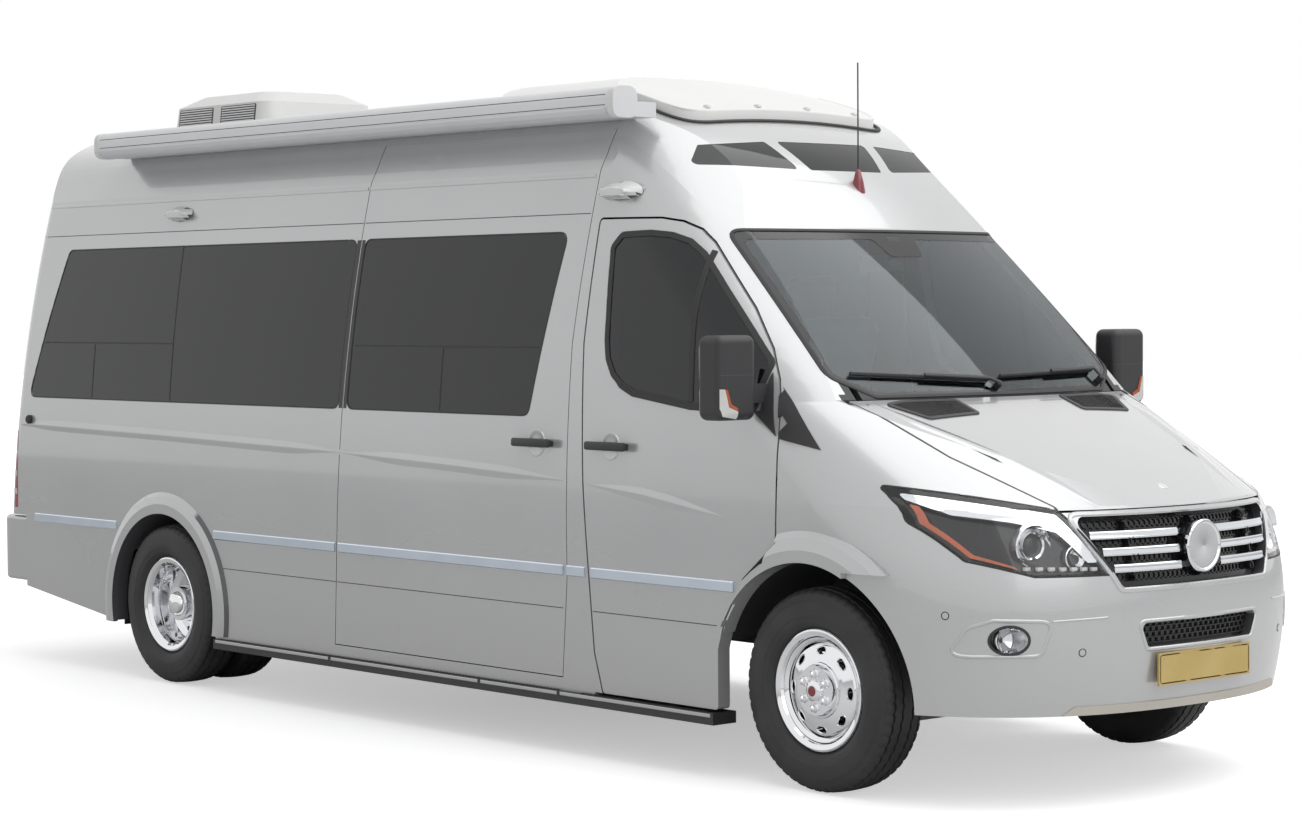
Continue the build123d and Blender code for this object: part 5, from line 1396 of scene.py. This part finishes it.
# %% [markdown]
# ## Tail lamps and rear doors
# The tail lamps stand in the rear corners. Clear bands for the turn signal and reversing light
# cross their red lens, seen from behind and from the side. A handle and seals finish the doors.
# %% Tail lamps
on_lamp = {side: from_side(("tail_lamps",), side) for side in (RIGHT, LEFT)}
lamp_back = from_behind(("tail_lamps",))
low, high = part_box("tail_lamps")
spans = ((1.058, 1.160), (0.838, 0.866), (0.930, 0.958))
pale_side = [rectangle(low.x + 0.06, a, high.x - 0.008, b) for a, b in spans]
for side in (RIGHT, LEFT):
    panel(f"tail_lamp_bands_{WORD[side]}", pale_side, on_lamp[side], -0.001, 0.0015, "pale_lens", "van_body", step=0.03)
    backs = [rectangle(side * 0.905, a, side * 0.940, b) for a, b in spans]
    panel(f"tail_lamp_backs_{WORD[side]}", backs, lamp_back, -0.001, 0.0015, "pale_lens", "van_body", step=0.02)

# %% Rear doors and bumper
REAR = {side: (f"rear_door_{WORD[side]}", f"rear_window_{WORD[side]}") for side in (RIGHT, LEFT)}
rear_glass = rounded(millimetres([(-755, 1400), (-700, 2060), (-130, 2060), (-130, 1400)]), 0.070)
for side in (RIGHT, LEFT):
    word = WORD[side]
    back = from_behind(REAR[side])
    loop = rear_glass if side == RIGHT else [(-y, z) for y, z in reversed(rear_glass)]
    band(f"rear_window_rubber_{word}", [loop], back, rounded_strip(0.024, -0.004, 0.004, 0.002), "seal_rubber",
         f"rear_door_{word}", closed=True)
    creases = [[(side * 0.10, z), (side * 0.84, z)] for z in (1.200, 0.960)]
    band(f"rear_door_creases_{word}", creases, back, fine_ridge, "paint", f"rear_door_{word}", step=0.1)
back = from_behind(REAR[RIGHT])
spot, normal = back((-0.105, 1.145))
bar = [soft_box(spot + normal * 0.034, (0.010, 0.017, 0.105), 0.008)]
bar += [soft_box(spot + Vector((0, 0, z)) + normal * 0.016, (0.018, 0.013, 0.016), 0.005) for z in (-0.08, 0.08)]
piece("rear_door_handle", *joined(bar), "black_plastic", "rear_door_right")
lathe("rear_door_lock", [spun(disc_profile(0.013, -0.001, 0.004, 0.002), back((-0.105, 1.010))[0], (-1, 0, 0), 24)],
      "chrome_rim", "rear_door_right")
bumper_back = from_behind(("rear_bumper",))
reflectors = [rounded(rectangle(side * 0.62, 0.60, side * 0.76, 0.635), 0.006) for side in (RIGHT, LEFT)]
panel("rear_reflectors", reflectors, bumper_back, -0.001, 0.004, "red_lens", "van_body", step=0.03)
tread = []
for i in range(9):
    rib_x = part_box("rear_bumper")[0].x + 0.035 + 0.016 * i
    path = laid(dense([(rib_x, -0.55), (rib_x, 0.55)], 0.2, closed=False), from_above(("rear_bumper",)))
    if len(path) > 2:
        tread.append(sweep(path, rounded_strip(0.006, -0.001, 0.0025, 0.001)))
if tread:
    piece("bumper_step_ribs", *joined(tread), "black_plastic", "van_body")
print("tail done")

# %% [markdown]
# ## Porch lamps
# Oval lamps light both sides high up: a pale shell over a lens that looks down. The shell is a
# panel over the upper part of the solid lamp, and the lens is one over the part below.
# %% Porch lamps
nodes["small_lamps"].data.materials[0] = finishes["lamp_lens"]
for side in (RIGHT, LEFT):
    place = from_side(("small_lamps",), side)
    middles = [(at(ahead), 2.222) for ahead in (-4366, -1177)]
    shells = [arc(middle, 0.122, 0.0425, -20, 200, 32) for middle in middles]
    lenses = [arc(middle, 0.118, 0.0405, 202, 338, 24) for middle in middles]
    panel(f"porch_lamp_shells_{WORD[side]}", shells, place, -0.002, 0.0025, "white_plastic", "van_body", step=0.012)
    panel(f"porch_lamp_lenses_{WORD[side]}", lenses, place, -0.002, 0.0008, "pale_lens", "van_body", step=0.012)

# %% [markdown]
# ## Steering wheel and dashboard
# The wheel's rim gets a padded boss and three covered spokes. The dashboard's top is crossed by
# long demister slots and carries round vents, an instrument hood and a centre screen.
# %% Steering wheel
centre = Vector((at(-700), 0.420, 1.240))
axis = Vector((-0.6, 0, 0.8))
boss = [spun([(-0.032, 0.064), (0.000, 0.074), (0.018, 0.068), (0.026, 0.050), (0.029, 0.020), (0.030, TIP),
              (-0.032, TIP)], centre, axis, 48)]
across = Vector((0, 1, 0))
down = axis.cross(across)
turn = Matrix((across, down, axis)).transposed()
for offset, half in ((across * 0.125, (0.062, 0.019, 0.008)), (across * -0.125, (0.062, 0.019, 0.008)),
                     (down * 0.125, (0.019, 0.062, 0.008))):
    boss.append(soft_box(centre + offset - axis * 0.006, half, 0.006, turn))
piece("steering_boss", *joined(boss), "black_plastic", "steering_wheel")

# %% Dashboard
on_dash = from_above(("dashboard",))
slots_in_dash = [[(at(-150), a), (at(-150), b), (at(-172), b), (at(-172), a)] for a, b in (
    (-0.70, -0.30), (-0.22, 0.22), (0.30, 0.70))]
panel("demister_slots", [rounded(outline, 0.006) for outline in slots_in_dash], on_dash, -0.002, 0.0015,
      "black_plastic", "van_body", step=0.03)
dash_back = from_behind(("dashboard",))
screen_zone = rounded(rectangle(-0.12, 1.16, 0.12, 1.27), 0.01)
panel("dash_screen", [screen_zone], dash_back, -0.002, 0.004, "gloss_black", "van_body", step=0.03)
vents_in_dash = []
for y in (-0.80, -0.20, 0.20, 0.80):
    spot = dash_back((y, 1.235))
    if spot:
        vents_in_dash.append(spun([(-0.004, TIP), (-0.004, 0.042), (0.006, 0.042), (0.008, 0.036), (0.002, 0.030),
                                   (0.001, TIP)], *spot, 32))
if vents_in_dash:
    lathe("dash_vents", vents_in_dash, "black_plastic", "van_body")
piece("instrument_hood", *soft_box((at(-520), 0.42, 1.310), (0.070, 0.19, 0.045), 0.035), "dash_plastic", "van_body")
stalks = [soft_box(centre + Vector((0.055, y, -0.035)), (0.008, 0.075, 0.006), 0.004) for y in (-0.15, 0.15)]
piece("column_stalks", *joined(stalks), "black_plastic", "van_body")
print("dashboard done")

# %% [markdown]
# ## Seats
# Each cab seat is two fat cushions and a headrest on a plinth. A cushion starts as a fine box
# whose corners are pulled round. Its faces then swell, and seams press narrow valleys into them.
# %% Cushion
def cushion(centre, half, round_off, puff, seams, turn=None, cuts=15):
    """A swollen box. Seams are places across the cushion, as a share of its half-width."""
    cube = bmesh.new()
    bmesh.ops.create_cube(cube, size=2)
    bmesh.ops.subdivide_edges(cube, edges=cube.edges[:], cuts=cuts, use_grid_fill=True)
    verts = []
    for vert in cube.verts:
        share = vert.co.copy()
        spot = Vector(math.sin(c * math.pi / 2) * h for c, h in zip(share, half))
        core = Vector(max(round_off - h, min(h - round_off, c)) for c, h in zip(spot, half))
        away = spot - core
        spot = core + away.normalized() * round_off if away.length > 1e-9 else spot
        swell = (1 - share.x ** 2) * (1 - share.y ** 2) * puff
        valley = sum(math.exp(-((spot.y / half[1] - s) / 0.035) ** 2) for s in seams)
        valley += math.exp(-((spot.x / half[0] - 0.62) / 0.03) ** 2) * 0.6
        top = max(0.0, share.z)
        spot.z += top * (swell - 0.011 * min(1.0, valley))
        verts.append((turn @ spot if turn else spot) + Vector(centre))
    faces = [tuple(v.index for v in face.verts) for face in cube.faces]
    cube.free()
    return verts, faces


# %% Both seats
cushions, plinths = [], []
lean = Matrix.Rotation(math.radians(-78), 3, "Y")
for side in (RIGHT, LEFT):
    y = side * 0.420
    cushions.append(cushion((at(-1090), y, 0.965), (0.255, 0.245, 0.075), 0.060, 0.018, (-0.55, 0.55)))
    cushions.append(cushion((at(-1325), y, 1.360), (0.365, 0.232, 0.062), 0.055, 0.022, (-0.55, 0.55), lean))
    cushions.append(cushion((at(-1405), y, 1.800), (0.095, 0.128, 0.040), 0.038, 0.010, (), lean))
    plinths.append(soft_box((at(-1105), y, 0.770), (0.215, 0.205, 0.112), 0.02))
    plinths.append(soft_box((at(-1105), y, 0.893), (0.235, 0.235, 0.018), 0.01))
    for post in (-0.05, 0.05):
        plinths.append(spun([(0.0, TIP), (0.0, 0.006), (0.10, 0.006), (0.10, TIP)], (at(-1392), y + post, 1.695),
                            (-0.2, 0, 1), 12))
seats = piece("seat_cushions", *joined(cushions), "seat_fabric", "van_body", crease=60)
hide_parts("front_seats")
piece("seat_plinths", *joined(plinths), "black_plastic", "van_body")
print("cab done")

# %% [markdown]
# ## Floor, light and camera
# The van stands on a plain pale floor under a large soft lamp and an even sky. The sky shows
# white to the camera and in reflections, and lights the van more gently. The floor glows a
# little for the camera, more so further off, and so runs into the sky while the shadow stays.
# %% Sky and floor
SKY_LIGHT = 0.42
world = bpy.data.worlds.new("sky")
bpy.context.scene.world = world
world.use_nodes = True
sky = world.node_tree
seen = node(sky, "ShaderNodeLightPath", output="Is Camera Ray")
shiny = node(sky, "ShaderNodeLightPath", output="Is Glossy Ray")
through = node(sky, "ShaderNodeLightPath", output="Is Transmission Ray")
strength = (seen + shiny + through).clamped() * (1 - SKY_LIGHT) + SKY_LIGHT
background = sky.nodes["Background"]
background.inputs["Color"].default_value = (1, 1, 1, 1)
sky.links.new(strength.socket, background.inputs["Strength"])
bpy.ops.mesh.primitive_plane_add(size=120)
floor = bpy.context.object
floor.name = "studio_floor"
finish("studio_floor", (0.84, 0.84, 0.84), (0.86, 0.86, 0.86), 0.9, bump=0.0)
ground = finishes["studio_floor"].node_tree
reach = node(ground, "ShaderNodeVectorMath", {"operation": "LENGTH"},
             {0: node(ground, "ShaderNodeTexCoord", output="Object")}, output="Value")
glow = (reach.above(4.0, 14.0) * 0.75 + 0.25) * node(ground, "ShaderNodeLightPath", output="Is Camera Ray")
shader = next(part for part in ground.nodes if part.type == "BSDF_PRINCIPLED")
shader.inputs["Emission Strength"].default_value = 1.0
ground.links.new(mixed(ground, glow, (0, 0, 0, 1), (1, 1, 1, 1)).socket, shader.inputs["Emission Color"])
floor.data.materials.append(finishes["studio_floor"])

# %% Lamps
def lamp(name, place, target, size, power):
    """A large soft lamp aimed at a point."""
    light = bpy.data.lights.new(name, "AREA")
    light.size = size
    light.energy = power
    made = bpy.data.objects.new(name, light)
    made.location = place
    made.rotation_euler = (Vector(target) - Vector(place)).to_track_quat("-Z", "Y").to_euler()
    bpy.context.scene.collection.objects.link(made)


lamp("top_lamp", (5.0, 2.0, 11.0), (0.5, 0, 1), 14.0, 900)
lamp("front_lamp", (11.0, -3.0, 5.5), (2.5, 0, 1), 7.0, 120)

# %% Camera
CAMERA_PLACE = (9.8852, -8.2934, 1.7759)
YAW, PITCH, ROLL = math.radians(48.600), math.radians(2.035), math.radians(-0.379)
FOCAL_WIDTHS = 2.2223077
camera_data = bpy.data.cameras.new("camera")
camera = bpy.data.objects.new("camera", camera_data)
bpy.context.scene.collection.objects.link(camera)
bpy.context.scene.camera = camera
camera_data.sensor_width = 36.0
camera_data.lens = camera_data.sensor_width * FOCAL_WIDTHS
camera_data.clip_end = 300
ahead_of_camera = Vector((-math.sin(YAW) * math.cos(PITCH), math.cos(YAW) * math.cos(PITCH), -math.sin(PITCH)))
level = ahead_of_camera.cross(Vector((0, 0, 1))).normalized()
upward = level.cross(ahead_of_camera)
right_hand = level * math.cos(ROLL) + upward * math.sin(ROLL)
overhead = upward * math.cos(ROLL) - level * math.sin(ROLL)
turned = Matrix((right_hand, overhead, -ahead_of_camera)).transposed()
camera.matrix_world = Matrix.Translation(CAMERA_PLACE) @ turned.to_4x4()
bpy.context.scene.view_settings.view_transform = "Standard"

# %% Bounds of the solids before the pieces
print("before", [list(corner) for corner in size_before])
